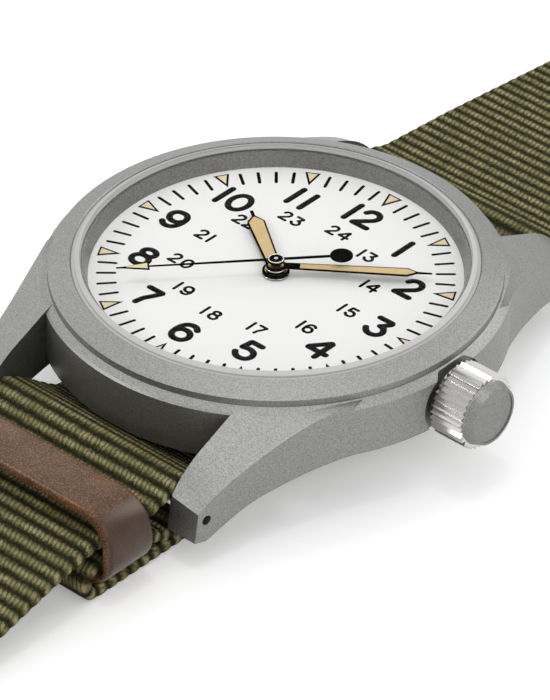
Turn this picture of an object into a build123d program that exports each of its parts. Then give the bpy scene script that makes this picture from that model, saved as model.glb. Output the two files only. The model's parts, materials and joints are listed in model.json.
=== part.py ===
from build123d import *
import math
import os

os.makedirs("parts", exist_ok=True)

# Axes: +Z up out of the dial, +Y to 12 o'clock, +X to 3 o'clock, in millimetres.
# The origin is on the dial's axis, on the surface that the strap lies on.

# Fits and overruns
fit = 0.02
running = 0.05
soft_gap = 0.05
overrun = 1.0

# Strap webbing
strap_w = 19.8
strap_t = 1.0

# Case heights, counted up from the underside of the back
back_t = 0.85
back_flange_h = 2.1
taper_h = 0.8
wall_h = 4.5
shelf_rise = 0.35
bezel_lip_h = 0.57
bezel_rise = 0.78
bezel_seat_h = 0.5
crystal_proud = 0.25

case_low = 2 * (strap_t + soft_gap)
back_top = case_low + back_t
mid_low = case_low + back_flange_h
wall_low = mid_low + taper_h
shelf_z = wall_low + wall_h
shelf_in_z = shelf_z + shelf_rise
bezel_low = shelf_in_z - bezel_seat_h
bezel_lip_z = shelf_in_z + bezel_lip_h
bezel_top = bezel_lip_z + bezel_rise
crystal_top = bezel_top + crystal_proud

# Case radii
case_r = 19.0
shelf_w = 0.72
bezel_face_w = 1.86
bezel_ledge_w = 0.78
taper_w = 1.5
rehaut_lap = 0.28
dial_seat_w = 0.7
edge_round = 0.18
shelf_in_r = case_r - shelf_w
bezel_r = shelf_in_r - fit
bezel_bore_r = bezel_r - bezel_face_w
bezel_ledge_r = bezel_bore_r - bezel_ledge_w
case_low_r = case_r - taper_w
dial_bore_r = bezel_ledge_r + rehaut_lap
movement_bore_r = dial_bore_r - dial_seat_w

# Crystal and its gasket
gasket_side_t = 0.3
crystal_r = bezel_bore_r - gasket_side_t
crystal_t = 1.0
crystal_bevel_w = 0.38
crystal_bevel_h = 0.24
gasket_under_t = 0.12
gasket_lip_h = 0.6
crystal_low = crystal_top - crystal_t
gasket_low = crystal_low - gasket_under_t
ledge_top = gasket_low - fit

# Dial, its feet and the slanted ring round it
dial_gap = 1.57
dial_t = 0.4
dial_side_gap = 0.1
dial_r = dial_bore_r - dial_side_gap
dial_hole_r = 1.0
foot_r = 0.35
foot_h = 1.0
foot_inset = 1.7
foot_angles_deg = (110, 290)
rehaut_wall = 0.25
rehaut_slope_w = 0.29
rehaut_outer_r = bezel_ledge_r - fit
rehaut_foot_r = dial_bore_r - running
rehaut_top_r = rehaut_outer_r - rehaut_wall
rehaut_low_r = rehaut_top_r - rehaut_slope_w
dial_top = crystal_low - dial_gap
dial_low = dial_top - dial_t

# Lugs: side profiles as places along Y from the case's edge and heights from the shelf, and the line in plan
strap_side_gap = 0.1
lug_gap = strap_w + 2 * strap_side_gap
lug_out = 4.5
lug_start_in = 13.0
lug_inner_top = ((-3.7, 0.35), (-2.8, 0.0), (-0.82, -0.88), (1.17, -1.76), (3.08, -3.08), (3.99, -4.1))
lug_outer_top = ((-11.0, 0.25), (-8.2, -0.04), (-4.5, -1.5), (-1.7, -2.7), (1.0, -3.6), (4.3, -4.8))
lug_underside = ((3.4, -7.3), (1.9, -6.75), (-0.9, -5.75), (-3.6, -5.25), (-6.0, -4.9), (-10.5, -4.52))
lug_start_low_h = 4.5
lug_tip_low_h = 7.0
lug_slant_in = 2.5
lug_tip_w = 2.8
lug_waist_in = (4.05, 5.6)
lug_root_in = 1.0
lug_reach = case_r + lug_out
lug_start_y = case_r - lug_start_in
lug_slant_x = case_r - lug_slant_in
lug_tip_x = lug_gap / 2 + lug_tip_w
lug_waist_x = case_r - lug_waist_in[0]
lug_waist_y = case_r - lug_waist_in[1]
lug_root_x = case_r - lug_root_in
lug_root_y = math.sqrt(case_r**2 - lug_root_x**2) + fit

# Spring bars
bar_out = 3.3
bar_y = case_r + bar_out
bar_z = 4.2
bar_tube_r = 0.75
bar_tube_wall = 0.18
bar_end_gap = 0.7
bar_tube_len = lug_gap - 2 * bar_end_gap
bar_pin_r = 0.4
bar_collar_r = 0.54
bar_shoulder_len = 0.55

# Crown, tube and stem
stem_drop = 2.72
crown_sink = 0.15
crown_collar_w = 0.2
crown_knurl_w = 3.05
crown_chamfer_w = 0.83
stem_z = shelf_z - stem_drop
crown_in_x = case_r - crown_sink
crown_knurl_x = crown_in_x + crown_collar_w
crown_knurl_end_x = crown_knurl_x + crown_knurl_w
crown_face_x = crown_knurl_end_x + crown_chamfer_w
crown_r = 3.17
crown_root_r = 2.8
crown_cone_drop = 0.06
crown_face_r = 2.45
crown_disc_r = 2.25
crown_disc_depth = 0.08
crown_teeth = 34
crown_bore_r = 2.0
crown_bore_depth = 2.05
crown_bore_end_x = crown_in_x + crown_bore_depth
recess_r = 3.32
recess_depth = 0.6
recess_floor_x = case_r - recess_depth
tube_r = 1.25
tube_bore_r = 0.55
tube_inset = 0.1
tube_proud = 0.75
tube_in_x = movement_bore_r + tube_inset
tube_out_x = case_r + tube_proud
crown_gasket_w = 0.6
stem_r = 0.45
stem_pilot_r = 0.22
stem_square_w = 0.56
stem_round_r = 0.38
stem_groove_w = 0.5
stem_groove_r = 0.25
crown_pull = 0.9

# Places along the stem, counted in from the edge of the movement
stem_in = 7.6
stem_pilot_end_in = 6.9
stem_square_end_in = 4.25
stem_round_end_in = 3.15
stem_groove_in = 2.65

# Case back
back_inset = 0.4
back_step_in = 2.9
back_step_h = 0.15
back_bowl_in = 1.1
back_bowl_h = 0.5
back_rim_h = 1.5
back_r = case_low_r - back_inset
back_step_r = back_r - back_step_in
back_bowl_r = back_r - back_bowl_in
back_notches = 6
back_notch_in = 0.5
back_notch_r = back_r - back_notch_in
back_notch_w = 2.2
back_notch_d = 1.7
back_notch_h = 0.75
spigot_r = movement_bore_r - running
spigot_wall = 0.75
spigot_h = 2.0
seal_out = 0.85
seal_r = spigot_r + seal_out
seal_wall = 0.5
seal_h = 0.42

# Movement plates and their levels
holder_gap = 0.13
holder_wall = 2.05
movement_r = movement_bore_r - holder_gap - holder_wall - fit
plate_t = 1.56
train_h = 1.55
bridge_t = 0.45
bridge_inset = 0.2
bridge_r = movement_r - bridge_inset
pillar_w = 1.3
pillar_inset = 0.35
plate_top = dial_low - fit
plate_low = plate_top - plate_t
bridge_top = plate_low - train_h
bridge_low = bridge_top - bridge_t
holder_low = back_top + spigot_h + running
holder_slot_r = 0.8
pillar_place_r = bridge_r - pillar_w - pillar_inset
foot_place_r = movement_r - foot_inset
stem_in_x = movement_r - stem_in
stem_pilot_end_x = movement_r - stem_pilot_end_in
stem_square_end_x = movement_r - stem_square_end_in
stem_round_end_x = movement_r - stem_round_end_in
stem_groove_x = movement_r - stem_groove_in

# Tooth form, as shares of the module and of one tooth's angle
addendum_share = 0.7
dedendum_share = 1.1
wheel_root_share = 0.24
wheel_tip_share = 0.08
pinion_root_share = 0.21
pinion_tip_share = 0.11

# Going train: teeth, centre distances and directions from the middle
barrel_teeth = 60
centre_pinion_teeth = 10
centre_teeth = 48
third_pinion_teeth = 6
third_teeth = 45
fourth_pinion_teeth = 6
fourth_teeth = 60
escape_pinion_teeth = 6
escape_teeth = 15
barrel_share = 0.517
third_share = 0.3323
escape_share = 0.3385
balance_share = 0.646
motion_share = 0.24
barrel_distance = barrel_share * movement_r
third_distance = third_share * movement_r
escape_distance = escape_share * movement_r
balance_distance = balance_share * movement_r
barrel_deg = 80
third_deg = 215
escape_deg = 275
balance_deg = 300

# Going train: levels, each counted down from the plate
centre_wheel_drop = 0.12
centre_wheel_t = 0.13
centre_pinion_h = 0.7
drum_drop = 0.4
drum_h = 0.95
drum_r_share = 0.818
drum_r = drum_r_share * barrel_distance
drum_wall = 0.25
drum_teeth_drop = 0.5
drum_teeth_h = 0.35
third_wheel_drop = 1.1
third_wheel_t = 0.12
third_pinion_drop = 0.05
third_pinion_h = 0.27
fourth_pinion_drop = 1.0
fourth_pinion_h = 0.3
fourth_wheel_drop = 1.4
fourth_wheel_t = 0.1
escape_pinion_drop = 1.3
escape_pinion_h = 0.22
escape_wheel_drop = 0.7
escape_wheel_t = 0.1
escape_r = 2.0
escape_rim_w = 0.3
escape_tooth_h = 0.45
arbor_r = 0.12
pivot_r = 0.08
pivot_len = 0.25
rim_w = 0.5
spoke_w = 0.4

# Motion works under the dial
cannon_teeth = 10
minute_wheel_teeth = 30
minute_pinion_teeth = 8
hour_teeth = 32
setting_teeth = 12
motion_distance = motion_share * movement_r
minute_wheel_deg = 20
setting_deg = 25
motion_floor_drop = 1.1
motion_wheel_t = 0.2
cannon_h = 0.5
hour_wheel_t = 0.2
motion_post_r = 0.3
centre_arbor_r = 0.40
seconds_arbor_r = 0.15
cannon_tube_r = 0.62
hour_pipe_r = 0.9

# Hands: heights above the dial, clock angles and outlines
hour_deg = 304.3
minute_deg = 53.0
seconds_deg = 222.1
hour_plate_h = 0.32
minute_plate_h = 0.76
seconds_plate_h = 1.36
hand_t = 0.1
hour_len = 8.46
hour_shoulder_y = 6.87
hour_shoulder_w = 0.73
hour_root_y = 0.7
hour_root_w = 0.56
hour_needle_y = 7.7
hour_needle_w = 0.13
hour_hub_r = 1.1
hour_hub_h = 0.36
minute_len = 12.52
minute_shoulder_y = 10.55
minute_shoulder_w = 0.53
minute_root_y = 0.6
minute_root_w = 0.38
minute_needle_y = 11.3
minute_needle_w = 0.1
minute_hub_r = 0.81
minute_hub_h = 0.34
seconds_len = 12.8
seconds_root_w = 0.12
seconds_tip_w = 0.05
seconds_head_y = 10.15
seconds_head_end_y = 12.3
seconds_head_w = 0.48
seconds_disc_y = 5.27
seconds_disc_r = 0.92
seconds_hub_r = 0.67
seconds_hub_h = 0.2

# Balance, escapement and springs
balance_r_share = 0.512
balance_r = balance_r_share * balance_distance
balance_rim_w = 0.4
balance_drop = 0.9
balance_h = 0.25
balance_arm_w = 0.5
roller_r = 0.45
staff_r = 0.14
hairspring_drop = 1.32
hairspring_h = 0.1
hairspring_in_r = 0.4
hairspring_pitch = 0.28
hairspring_turns = 6
hairspring_t = 0.07
pallet_from_escape = 2.35
pallet_drop = 0.52
pallet_t = 0.14
fork_len = 1.85
fork_w = 0.28
pallet_arm_len = 1.15
pallet_arm_w = 0.35
stone_w = 0.2
stone_len = 0.3
mainspring_t = 0.14
mainspring_in_r = 1.4
mainspring_turns = 8
mainspring_fill_share = 0.873
mainspring_pitch = mainspring_fill_share * (drum_r - drum_wall - mainspring_in_r) / mainspring_turns

# Winding works
ratchet_teeth = 36
crown_wheel_teeth = 20
crown_wheel_in = 6.8
crown_wheel_x = movement_r - crown_wheel_in
ratchet_t = 0.25
ratchet_gap = 0.05
crown_wheel_hub_r = 0.9
drum_arbor_r = 1.0
drum_arbor_hole_r = 1.06
winding_pinion_in = 4.15
winding_pinion_x = movement_r - winding_pinion_in
winding_pinion_w = 0.9
sliding_pinion_in = 5.65
sliding_pinion_x = movement_r - sliding_pinion_in
sliding_pinion_w = 1.1
clutch_r = 1.1
clutch_groove_r = 0.75
clutch_groove_w = 0.5
lever_pivot_y = 1.7
lever_w = 0.7
lever_t = 0.2
lever_pin_r = 0.15
lever_drop = 0.9
yoke_pivot_y = -4.0
yoke_w = 0.6
yoke_tip_w = 0.16
yoke_tip_y = -0.85
yoke_t = 0.25
keyless_in = 7.3
keyless_wall = 0.9
yoke_slot_in = 3.8
keyless_low_y = -1.6
keyless_high_y = 2.7
yoke_slot_low_y = -4.75
keyless_x = movement_r - keyless_in
keyless_end_x = movement_r - keyless_wall
yoke_slot_end_x = movement_r - yoke_slot_in
click_x = 9.2
click_y = 8.3
click_r = 0.6
click_w = 0.5

# Screws and jewels
screw_r = 0.55
screw_head_h = 0.2
screw_shank_r = 0.3
screw_slot_w = 0.16
screw_slot_d = 0.1
jewel_r = 0.45
jewel_hole_r = 0.11

# Strap route: the slopes beside the case count their places along Y from the case's edge
tail_end_y = -152.0
tail_floor_y = -51.0
keeper_exit_out = 12.4
keeper_exit_z = 5.25
near_slope = ((-6.6, 4.6), (-3.5, 5.55), (-2.3, 5.62), (-0.5, 4.5), (2.5, 2.2))
under_end_in = 3.6
far_slope = ((-2.5, 2.2), (0.5, 4.5), (2.3, 5.6), (3.5, 5.52), (5.2, 4.87), (13.6, 4.23))
far_slope_out = 28.0
bar_wrap = 0.3
buckle_bar_y = 92.0
strap_bend_r = 1.6
strap_long_bend_r = 30.0
bend_run_share = 0.47
tail_tip_r = 8.0
tail_holes = 9
tail_hole_pitch = 7.0
tail_hole_r = 1.0
tail_hole_first = 24.0
fold_inner_h = 1.3
fold_out = 11.8
fold_step_out = 6.4
fold_join_out = 4.9
fold_end_out = 2.9
flap_start_y = 84.0

# Leather keepers
leather_t = 1.1
keeper_len = 4.9
lug_keeper_rounds = (3.1, 3.0, 2.0, 0.5)
keeper_rounds = (2.4, 1.6, 1.3, 0.5)
keeper_gap = 0.3
lug_keeper_out = 12.2
lug_keeper_back_h = 6.35
lug_keeper_front_h = 7.1
fixed_keeper_y = 76.0
sliding_keeper_y = 62.5
keeper_free_h = 1.5

# Buckle
buckle_wire_r = 1.1
buckle_bar_r = 0.8
buckle_bar_z = 1.95
buckle_len = 9.5
buckle_side = 1.7
buckle_half_w = strap_w / 2 + buckle_side
buckle_corner_r = 2.4
buckle_eye_r = 1.45
buckle_eye_w = 1.7
buckle_front_drop = 0.55
tongue_r = 0.75
tongue_slot_w = 2.2
slot_back = 3.8
tongue_loop_wall = 0.7

half_gap = lug_gap / 2
strap_half_w = strap_w / 2
lying_z = strap_t / 2


def disc(r, z0, z1, at=(0, 0)):
    """A plain cylinder from height z0 to z1."""
    return Pos(at[0], at[1], z0) * Cylinder(r, z1 - z0, align=(Align.CENTER, Align.CENTER, Align.MIN))


def ring(outer, inner, z0, z1, at=(0, 0)):
    """A cylinder with a round hole right through it."""
    return disc(outer, z0, z1, at) - disc(inner, z0 - overrun, z1 + overrun, at)


def block(x0, x1, y0, y1, z0, z1):
    """A box between two corners."""
    size = Box(x1 - x0, y1 - y0, z1 - z0, align=(Align.MIN, Align.MIN, Align.MIN))
    return Pos(x0, y0, z0) * size


def rod(r, x0, x1, y=0, z=0):
    """A cylinder that lies along X."""
    turn = Rot(0, 90, 0)
    return Pos(x0, y, z) * turn * Cylinder(r, x1 - x0, align=(Align.CENTER, Align.CENTER, Align.MIN))


def turned(points):
    """A solid turned about Z from a closed outline of (radius, height) points."""
    outline = Polyline(*[(r, 0, z) for r, z in points], close=True)
    return revolve(make_face(outline), Axis.Z)


def polar(r, deg):
    """A place in plan at a radius and an angle from +X."""
    a = math.radians(deg)
    return (r * math.cos(a), r * math.sin(a))


def clock(deg):
    """The angle from +X of a clock angle from 12."""
    return 90 - deg


def plate_from(points, z0, z1):
    """A flat plate with straight edges between points in plan."""
    face = make_face(Polyline(*[(x, y, 0) for x, y in points], close=True))
    return Pos(0, 0, z0) * extrude(face, amount=z1 - z0)


def gear(teeth, module, z0, z1, at=(0, 0), tooth_deg=0, pinion=False):
    """A spur gear with one tooth pointing at tooth_deg."""
    pitch = 360 / teeth
    tip_r = module * (teeth / 2 + addendum_share)
    root_r = module * (teeth / 2 - dedendum_share)
    root_share = pinion_root_share if pinion else wheel_root_share
    tip_share = pinion_tip_share if pinion else wheel_tip_share
    corners = ((root_r, -root_share), (tip_r, -tip_share), (tip_r, tip_share), (root_r, root_share))
    points = []
    for i in range(teeth):
        for r, share in corners:
            points.append(polar(r, tooth_deg + (i + share) * pitch))
    return Pos(at[0], at[1], 0) * plate_from(points, z0, z1)


def spokes(wheel_r, hub_r, z0, z1, at, count, start_deg=0):
    """The openings between a wheel's arms, to be cut from its disc."""
    band = ring(wheel_r, hub_r, z0 - overrun, z1 + overrun, at)
    for i in range(count):
        from_centre = (Align.MIN, Align.CENTER, Align.CENTER)
        arm = Box(wheel_r + overrun, spoke_w, z1 - z0 + 3 * overrun, align=from_centre)
        band -= Pos(at[0], at[1], (z0 + z1) / 2) * Rot(0, 0, start_deg + i * 360 / count) * arm
    return band


def spiral(inner_r, pitch, turns, thickness, z0, z1, at):
    """A flat coiled spring, made of half turns of growing radius."""
    edges = []
    x = inner_r
    side = 1
    for i in range(2 * turns):
        r = inner_r + (i + 0.5) * pitch / 2
        end = x - side * 2 * r
        middle = (x + end) / 2
        edges.append(ThreePointArc((x, 0), (middle, side * r), (end, 0)))
        x = end
        side = -side
    path = Wire(edges)
    section = Plane(origin=path @ 0, z_dir=path % 0, x_dir=(0, 0, 1)) * Rectangle(z1 - z0, thickness)
    return Pos(at[0], at[1], (z0 + z1) / 2) * sweep(section, path=path)


barrel_at = polar(barrel_distance, barrel_deg)
third_at = polar(third_distance, third_deg)
escape_at = polar(escape_distance, escape_deg)
balance_at = polar(balance_distance, balance_deg)
minute_wheel_at = polar(motion_distance, minute_wheel_deg)
crown_wheel_at = (crown_wheel_x, 0)
barrel_module = 2 * barrel_distance / (barrel_teeth + centre_pinion_teeth)
centre_module = 2 * third_distance / (centre_teeth + third_pinion_teeth)
third_module = 2 * third_distance / (third_teeth + fourth_pinion_teeth)
fourth_module = 2 * escape_distance / (fourth_teeth + escape_pinion_teeth)
motion_module = 2 * motion_distance / (cannon_teeth + minute_wheel_teeth)
hour_module = 2 * motion_distance / (minute_pinion_teeth + hour_teeth)
setting_distance = motion_module * (minute_wheel_teeth + setting_teeth) / 2
setting_at = (
    minute_wheel_at[0] + setting_distance * math.cos(math.radians(setting_deg)),
    minute_wheel_at[1] + setting_distance * math.sin(math.radians(setting_deg)),
)
ratchet_distance = math.dist(barrel_at, crown_wheel_at)
ratchet_module = 2 * ratchet_distance / (ratchet_teeth + crown_wheel_teeth)
ratchet_top = bridge_low - ratchet_gap
ratchet_low = ratchet_top - ratchet_t
motion_floor = plate_top - motion_floor_drop


def facing_gap(deg, teeth):
    """The tooth angle of a gear that turns a gap towards deg."""
    return deg + 180 / teeth


# Case
def make_lug():
    """One lug, at +X and +Y: a lofted arm trimmed to its outline in plan."""
    def side(x, top):
        crest = [(x, case_r + dy, shelf_z + dz) for dy, dz in top]
        under = [(x, case_r + dy, shelf_z + dz) for dy, dz in lug_underside]
        start = (x, lug_start_y, shelf_in_z)
        start_low = (x, lug_start_y, shelf_z - lug_start_low_h)
        tip_low = (x, lug_reach, shelf_z - lug_tip_low_h)
        edges = [
            Line(start, crest[0]),
            Spline(*crest),
            Line(crest[-1], tip_low),
            Line(tip_low, under[0]),
            Spline(*under),
            Line(under[-1], start_low),
            Line(start_low, start),
        ]
        return make_face(Wire(edges))

    arm = loft([side(half_gap, lug_inner_top), side(lug_slant_x, lug_outer_top)], ruled=True)
    outer_end = (lug_tip_x, lug_reach + overrun, 0)
    outer_root = (lug_root_x, lug_root_y, 0)
    outline = [
        Line((half_gap, lug_start_y, 0), (half_gap, lug_reach + overrun, 0)),
        Line((half_gap, lug_reach + overrun, 0), outer_end),
        ThreePointArc(outer_end, (lug_waist_x, lug_waist_y, 0), outer_root),
        Line(outer_root, (half_gap, lug_start_y, 0)),
    ]
    plan = extrude(make_face(Wire(outline)), amount=crystal_top)
    return arm & plan


def make_mid_case():
    band = turned([
        (movement_bore_r, mid_low),
        (case_low_r, mid_low),
        (case_r, wall_low),
        (case_r, shelf_z - edge_round),
        (case_r - edge_round, shelf_z),
        (shelf_in_r, shelf_in_z),
        (shelf_in_r, bezel_low),
        (dial_bore_r, bezel_low),
        (dial_bore_r, plate_top - fit),
        (movement_bore_r, plate_top - fit),
    ])
    lug = make_lug() - disc(bezel_r - overrun, 0, crystal_top)
    for flip in (Plane.XZ, Plane.YZ):
        lug += mirror(lug, about=flip)
    body = band + lug
    body -= disc(shelf_in_r, bezel_low, crystal_top)
    body -= disc(movement_bore_r, 0, plate_top - fit)
    body -= ring(seal_r + fit, seal_r - seal_wall - fit, mid_low - overrun, mid_low + seal_h + fit)
    body -= rod(recess_r, recess_floor_x, case_r + overrun, 0, stem_z)
    body -= rod(tube_r + fit, movement_bore_r - overrun, case_r, 0, stem_z)
    for y in (-bar_y, bar_y):
        body -= rod(bar_pin_r + fit, -case_r, case_r, y, bar_z)
    return body


def make_bezel():
    return turned([
        (bezel_ledge_r, bezel_low + fit),
        (bezel_r, bezel_low + fit),
        (bezel_r, bezel_lip_z),
        (bezel_r - edge_round, bezel_lip_z + edge_round / 2),
        (bezel_bore_r + edge_round / 2, bezel_top),
        (bezel_bore_r, bezel_top - edge_round / 2),
        (bezel_bore_r, ledge_top),
        (bezel_ledge_r, ledge_top),
    ])


def make_crystal():
    return turned([
        (0, crystal_low),
        (crystal_r, crystal_low),
        (crystal_r, crystal_top - crystal_bevel_h),
        (crystal_r - crystal_bevel_w, crystal_top),
        (0, crystal_top),
    ])


def make_crystal_gasket():
    lip_top = crystal_low + gasket_lip_h
    return turned([
        (bezel_ledge_r, gasket_low),
        (bezel_bore_r - fit, gasket_low),
        (bezel_bore_r - fit, lip_top),
        (crystal_r + fit, lip_top),
        (crystal_r + fit, crystal_low - fit),
        (bezel_ledge_r, crystal_low - fit),
    ])


def make_rehaut():
    return turned([
        (rehaut_low_r, dial_top + fit),
        (rehaut_foot_r, dial_top + fit),
        (rehaut_foot_r, bezel_low),
        (rehaut_outer_r, bezel_low),
        (rehaut_outer_r, ledge_top),
        (rehaut_top_r, ledge_top),
    ])


def make_dial():
    body = ring(dial_r, dial_hole_r, dial_low, dial_top)
    for deg in foot_angles_deg:
        body += disc(foot_r, dial_low - foot_h, dial_low, polar(foot_place_r, deg))
    return body


def make_case_back():
    body = turned([
        (0, case_low),
        (back_step_r, case_low),
        (back_step_r + back_step_h, case_low + back_step_h),
        (back_bowl_r, case_low + back_bowl_h),
        (back_r, case_low + back_rim_h),
        (back_r, mid_low - fit),
        (spigot_r, mid_low - fit),
        (spigot_r, back_top + spigot_h),
        (spigot_r - spigot_wall, back_top + spigot_h),
        (spigot_r - spigot_wall, back_top),
        (0, back_top),
    ])
    for i in range(back_notches):
        tool = Box(back_notch_d, back_notch_w, back_notch_h, align=(Align.MAX, Align.CENTER, Align.MIN))
        body -= Rot(0, 0, i * 360 / back_notches) * Pos(back_notch_r, 0, case_low) * tool
    return body


def make_back_gasket():
    return ring(seal_r, seal_r - seal_wall, mid_low, mid_low + seal_h)


def make_movement_holder():
    body = ring(movement_bore_r - holder_gap, movement_r + fit, holder_low, plate_top)
    body -= rod(holder_slot_r, movement_r - overrun, case_r, 0, stem_z)
    for deg in foot_angles_deg:
        body -= disc(foot_r + fit, plate_top - foot_h - running, plate_top, polar(foot_place_r, deg))
    return body


# Spring bars
def make_bar_tube(y):
    half = bar_tube_len / 2
    tube = rod(bar_tube_r, -half, half, y, bar_z)
    tube -= rod(bar_collar_r + fit, -half + bar_tube_wall, half - bar_tube_wall, y, bar_z)
    return tube - rod(bar_pin_r + fit, -half - overrun, half + overrun, y, bar_z)


def make_bar_pin(y, side):
    half = bar_tube_len / 2
    collar_out = half - bar_tube_wall - fit
    collar_in = collar_out - bar_shoulder_len
    tip = half_gap + bar_shoulder_len * 3
    pin = rod(bar_pin_r, collar_in, tip, y, bar_z) + rod(bar_collar_r, collar_in, collar_out, y, bar_z)
    return pin if side > 0 else mirror(pin, about=Plane.YZ)


# Crown and stem
def make_crown():
    points = []
    for i in range(crown_teeth):
        for r, step in ((crown_root_r, 0), (crown_r, 0.5)):
            a = math.radians((i + step) * 360 / crown_teeth)
            points.append((0, r * math.cos(a), r * math.sin(a)))
    outline = make_face(Polyline(*points, close=True))
    knurl = extrude(outline, amount=crown_knurl_end_x - crown_knurl_x, dir=(1, 0, 0))
    body = Pos(crown_knurl_x, 0, stem_z) * knurl
    cone = Cone(crown_root_r - crown_cone_drop, crown_face_r, crown_face_x - crown_knurl_end_x,
                align=(Align.CENTER, Align.CENTER, Align.MIN))
    body += Pos(crown_knurl_end_x, 0, stem_z) * Rot(0, 90, 0) * cone
    body += rod(crown_root_r, crown_in_x, crown_knurl_x, 0, stem_z)
    body -= rod(crown_disc_r, crown_face_x - crown_disc_depth, crown_face_x + overrun, 0, stem_z)
    body -= rod(crown_bore_r, crown_in_x - overrun, crown_bore_end_x, 0, stem_z)
    bore_end = (crown_bore_end_x + crown_face_x) / 2
    return body - rod(stem_r + fit, crown_bore_end_x - overrun, bore_end, 0, stem_z)


def make_crown_tube():
    return rod(tube_r, tube_in_x, tube_out_x, 0, stem_z) - rod(tube_bore_r, 0, crown_face_x, 0, stem_z)


def make_crown_gasket():
    start = tube_out_x - 2 * crown_gasket_w + crown_pull - running
    outer = rod(crown_bore_r - fit, start - crown_pull, start - crown_pull + crown_gasket_w, 0, stem_z)
    return outer - rod(tube_r + running, 0, crown_face_x, 0, stem_z)


def make_stem():
    end = (crown_bore_end_x + crown_face_x) / 2 - running
    body = rod(stem_pilot_r, stem_in_x, stem_pilot_end_x, 0, stem_z)
    half = stem_square_w / 2
    body += block(stem_pilot_end_x, stem_square_end_x, -half, half, stem_z - half, stem_z + half)
    body += rod(stem_round_r, stem_square_end_x, stem_round_end_x, 0, stem_z)
    body += rod(stem_r, stem_round_end_x, stem_groove_x, 0, stem_z)
    body += rod(stem_groove_r, stem_groove_x, stem_groove_x + stem_groove_w, 0, stem_z)
    return body + rod(stem_r, stem_groove_x + stem_groove_w, end, 0, stem_z)


# Plates and bridges
def jewel_hole(at):
    return disc(jewel_r + fit, bridge_low - overrun, bridge_top + overrun, at)


def pillar(deg):
    """A bridge's foot, which reaches up to the plate."""
    at = polar(pillar_place_r, deg)
    return disc(pillar_w, bridge_low, plate_low, at)


def screw_hole(deg):
    return disc(screw_shank_r + fit, bridge_low - overrun, plate_low, polar(pillar_place_r, deg))


barrel_bridge_pillars_deg = (22, 142)
train_bridge_pillars_deg = (172, 252)
cock_pillar_deg = 333
bridge_split_share = 0.12


def bridge_sector(from_deg, to_deg):
    """The part of the round bridge plate between two angles."""
    reach = 3 * bridge_r
    steps = 6
    points = [(0, 0)]
    for i in range(steps + 1):
        points.append(polar(reach, from_deg + (to_deg - from_deg) * i / steps))
    return disc(bridge_r, bridge_low, bridge_top) & plate_from(points, bridge_low, bridge_top)


def make_mainplate():
    body = disc(movement_r, plate_low, plate_top)
    body -= disc(hour_module * (hour_teeth / 2 + 1) + running, motion_floor, plate_top + overrun)
    minute_wheel_r = motion_module * (minute_wheel_teeth / 2 + 1)
    body -= disc(minute_wheel_r + running, motion_floor, plate_top + overrun, minute_wheel_at)
    setting_r = motion_module * (setting_teeth / 2 + 1)
    body -= disc(setting_r + running, motion_floor, plate_top + overrun, setting_at)
    below = plate_low - overrun
    above = plate_top + overrun
    body -= block(keyless_x, keyless_end_x, keyless_low_y, keyless_high_y, below, above)
    body -= block(keyless_x, yoke_slot_end_x, yoke_slot_low_y, 0, below, above)
    body += disc(motion_post_r, plate_low, plate_top - hour_wheel_t, minute_wheel_at)
    body += disc(setting_r, plate_low, motion_floor, setting_at) & disc(movement_r, plate_low, plate_top)
    body -= rod(clutch_r + 2 * running, keyless_x, keyless_end_x, 0, stem_z)
    body += disc(motion_post_r, plate_low, plate_top - hour_wheel_t, setting_at)
    body -= disc(centre_arbor_r + running, 0, crystal_top)
    body -= rod(stem_r + running, keyless_x, movement_r + overrun, 0, stem_z)
    body -= rod(stem_pilot_r + running, stem_in_x - running, keyless_x + overrun, 0, stem_z)
    for at in (third_at, escape_at, balance_at, pallet_at):
        body -= disc(pivot_r + running, plate_low - overrun, plate_low + pivot_len + running, at)
    body -= disc(drum_arbor_hole_r, plate_low - overrun, plate_low + pivot_len + running, barrel_at)
    for deg in foot_angles_deg:
        body -= disc(foot_r + fit, plate_top - foot_h - running, above, polar(foot_place_r, deg))
    return body


def make_barrel_bridge():
    body = bridge_sector(-14, 152)
    for deg in barrel_bridge_pillars_deg:
        body += pillar(deg)
        body -= screw_hole(deg)
    crown_hub = crown_wheel_hub_r + running
    body -= disc(crown_hub, bridge_low - overrun, bridge_top + overrun, crown_wheel_at)
    body -= disc(drum_arbor_hole_r, bridge_low - overrun, bridge_top + overrun, barrel_at)
    centre_clear = fourth_pinion_teeth * fourth_module + jewel_r
    opening_r = centre_clear + bridge_r * bridge_split_share
    return body - disc(opening_r, bridge_low - overrun, bridge_top + overrun)


def make_train_bridge():
    body = bridge_sector(154, 262)
    centre_clear = fourth_pinion_teeth * fourth_module + jewel_r
    body += disc(centre_clear + bridge_r * bridge_split_share - running, bridge_low, bridge_top)
    body += disc(escape_distance - centre_clear, bridge_low, bridge_top, escape_at)
    for deg in train_bridge_pillars_deg:
        body += pillar(deg)
        body -= screw_hole(deg)
    for at in ((0, 0), third_at, escape_at):
        body -= jewel_hole(at)
    return body


def make_balance_cock():
    foot = polar(pillar_place_r, cock_pillar_deg)
    body = pillar(cock_pillar_deg)
    head_r = 2 * pillar_w
    body += disc(head_r / 2, bridge_low, bridge_top, balance_at)
    dx, dy = balance_at[0] - foot[0], balance_at[1] - foot[1]
    span = math.hypot(dx, dy)
    arm = Box(span, pillar_w * 1.5, bridge_t, align=(Align.MIN, Align.CENTER, Align.MIN))
    body += Pos(foot[0], foot[1], bridge_low) * Rot(0, 0, math.degrees(math.atan2(dy, dx))) * arm
    body -= screw_hole(cock_pillar_deg)
    return body - jewel_hole(balance_at)


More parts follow.
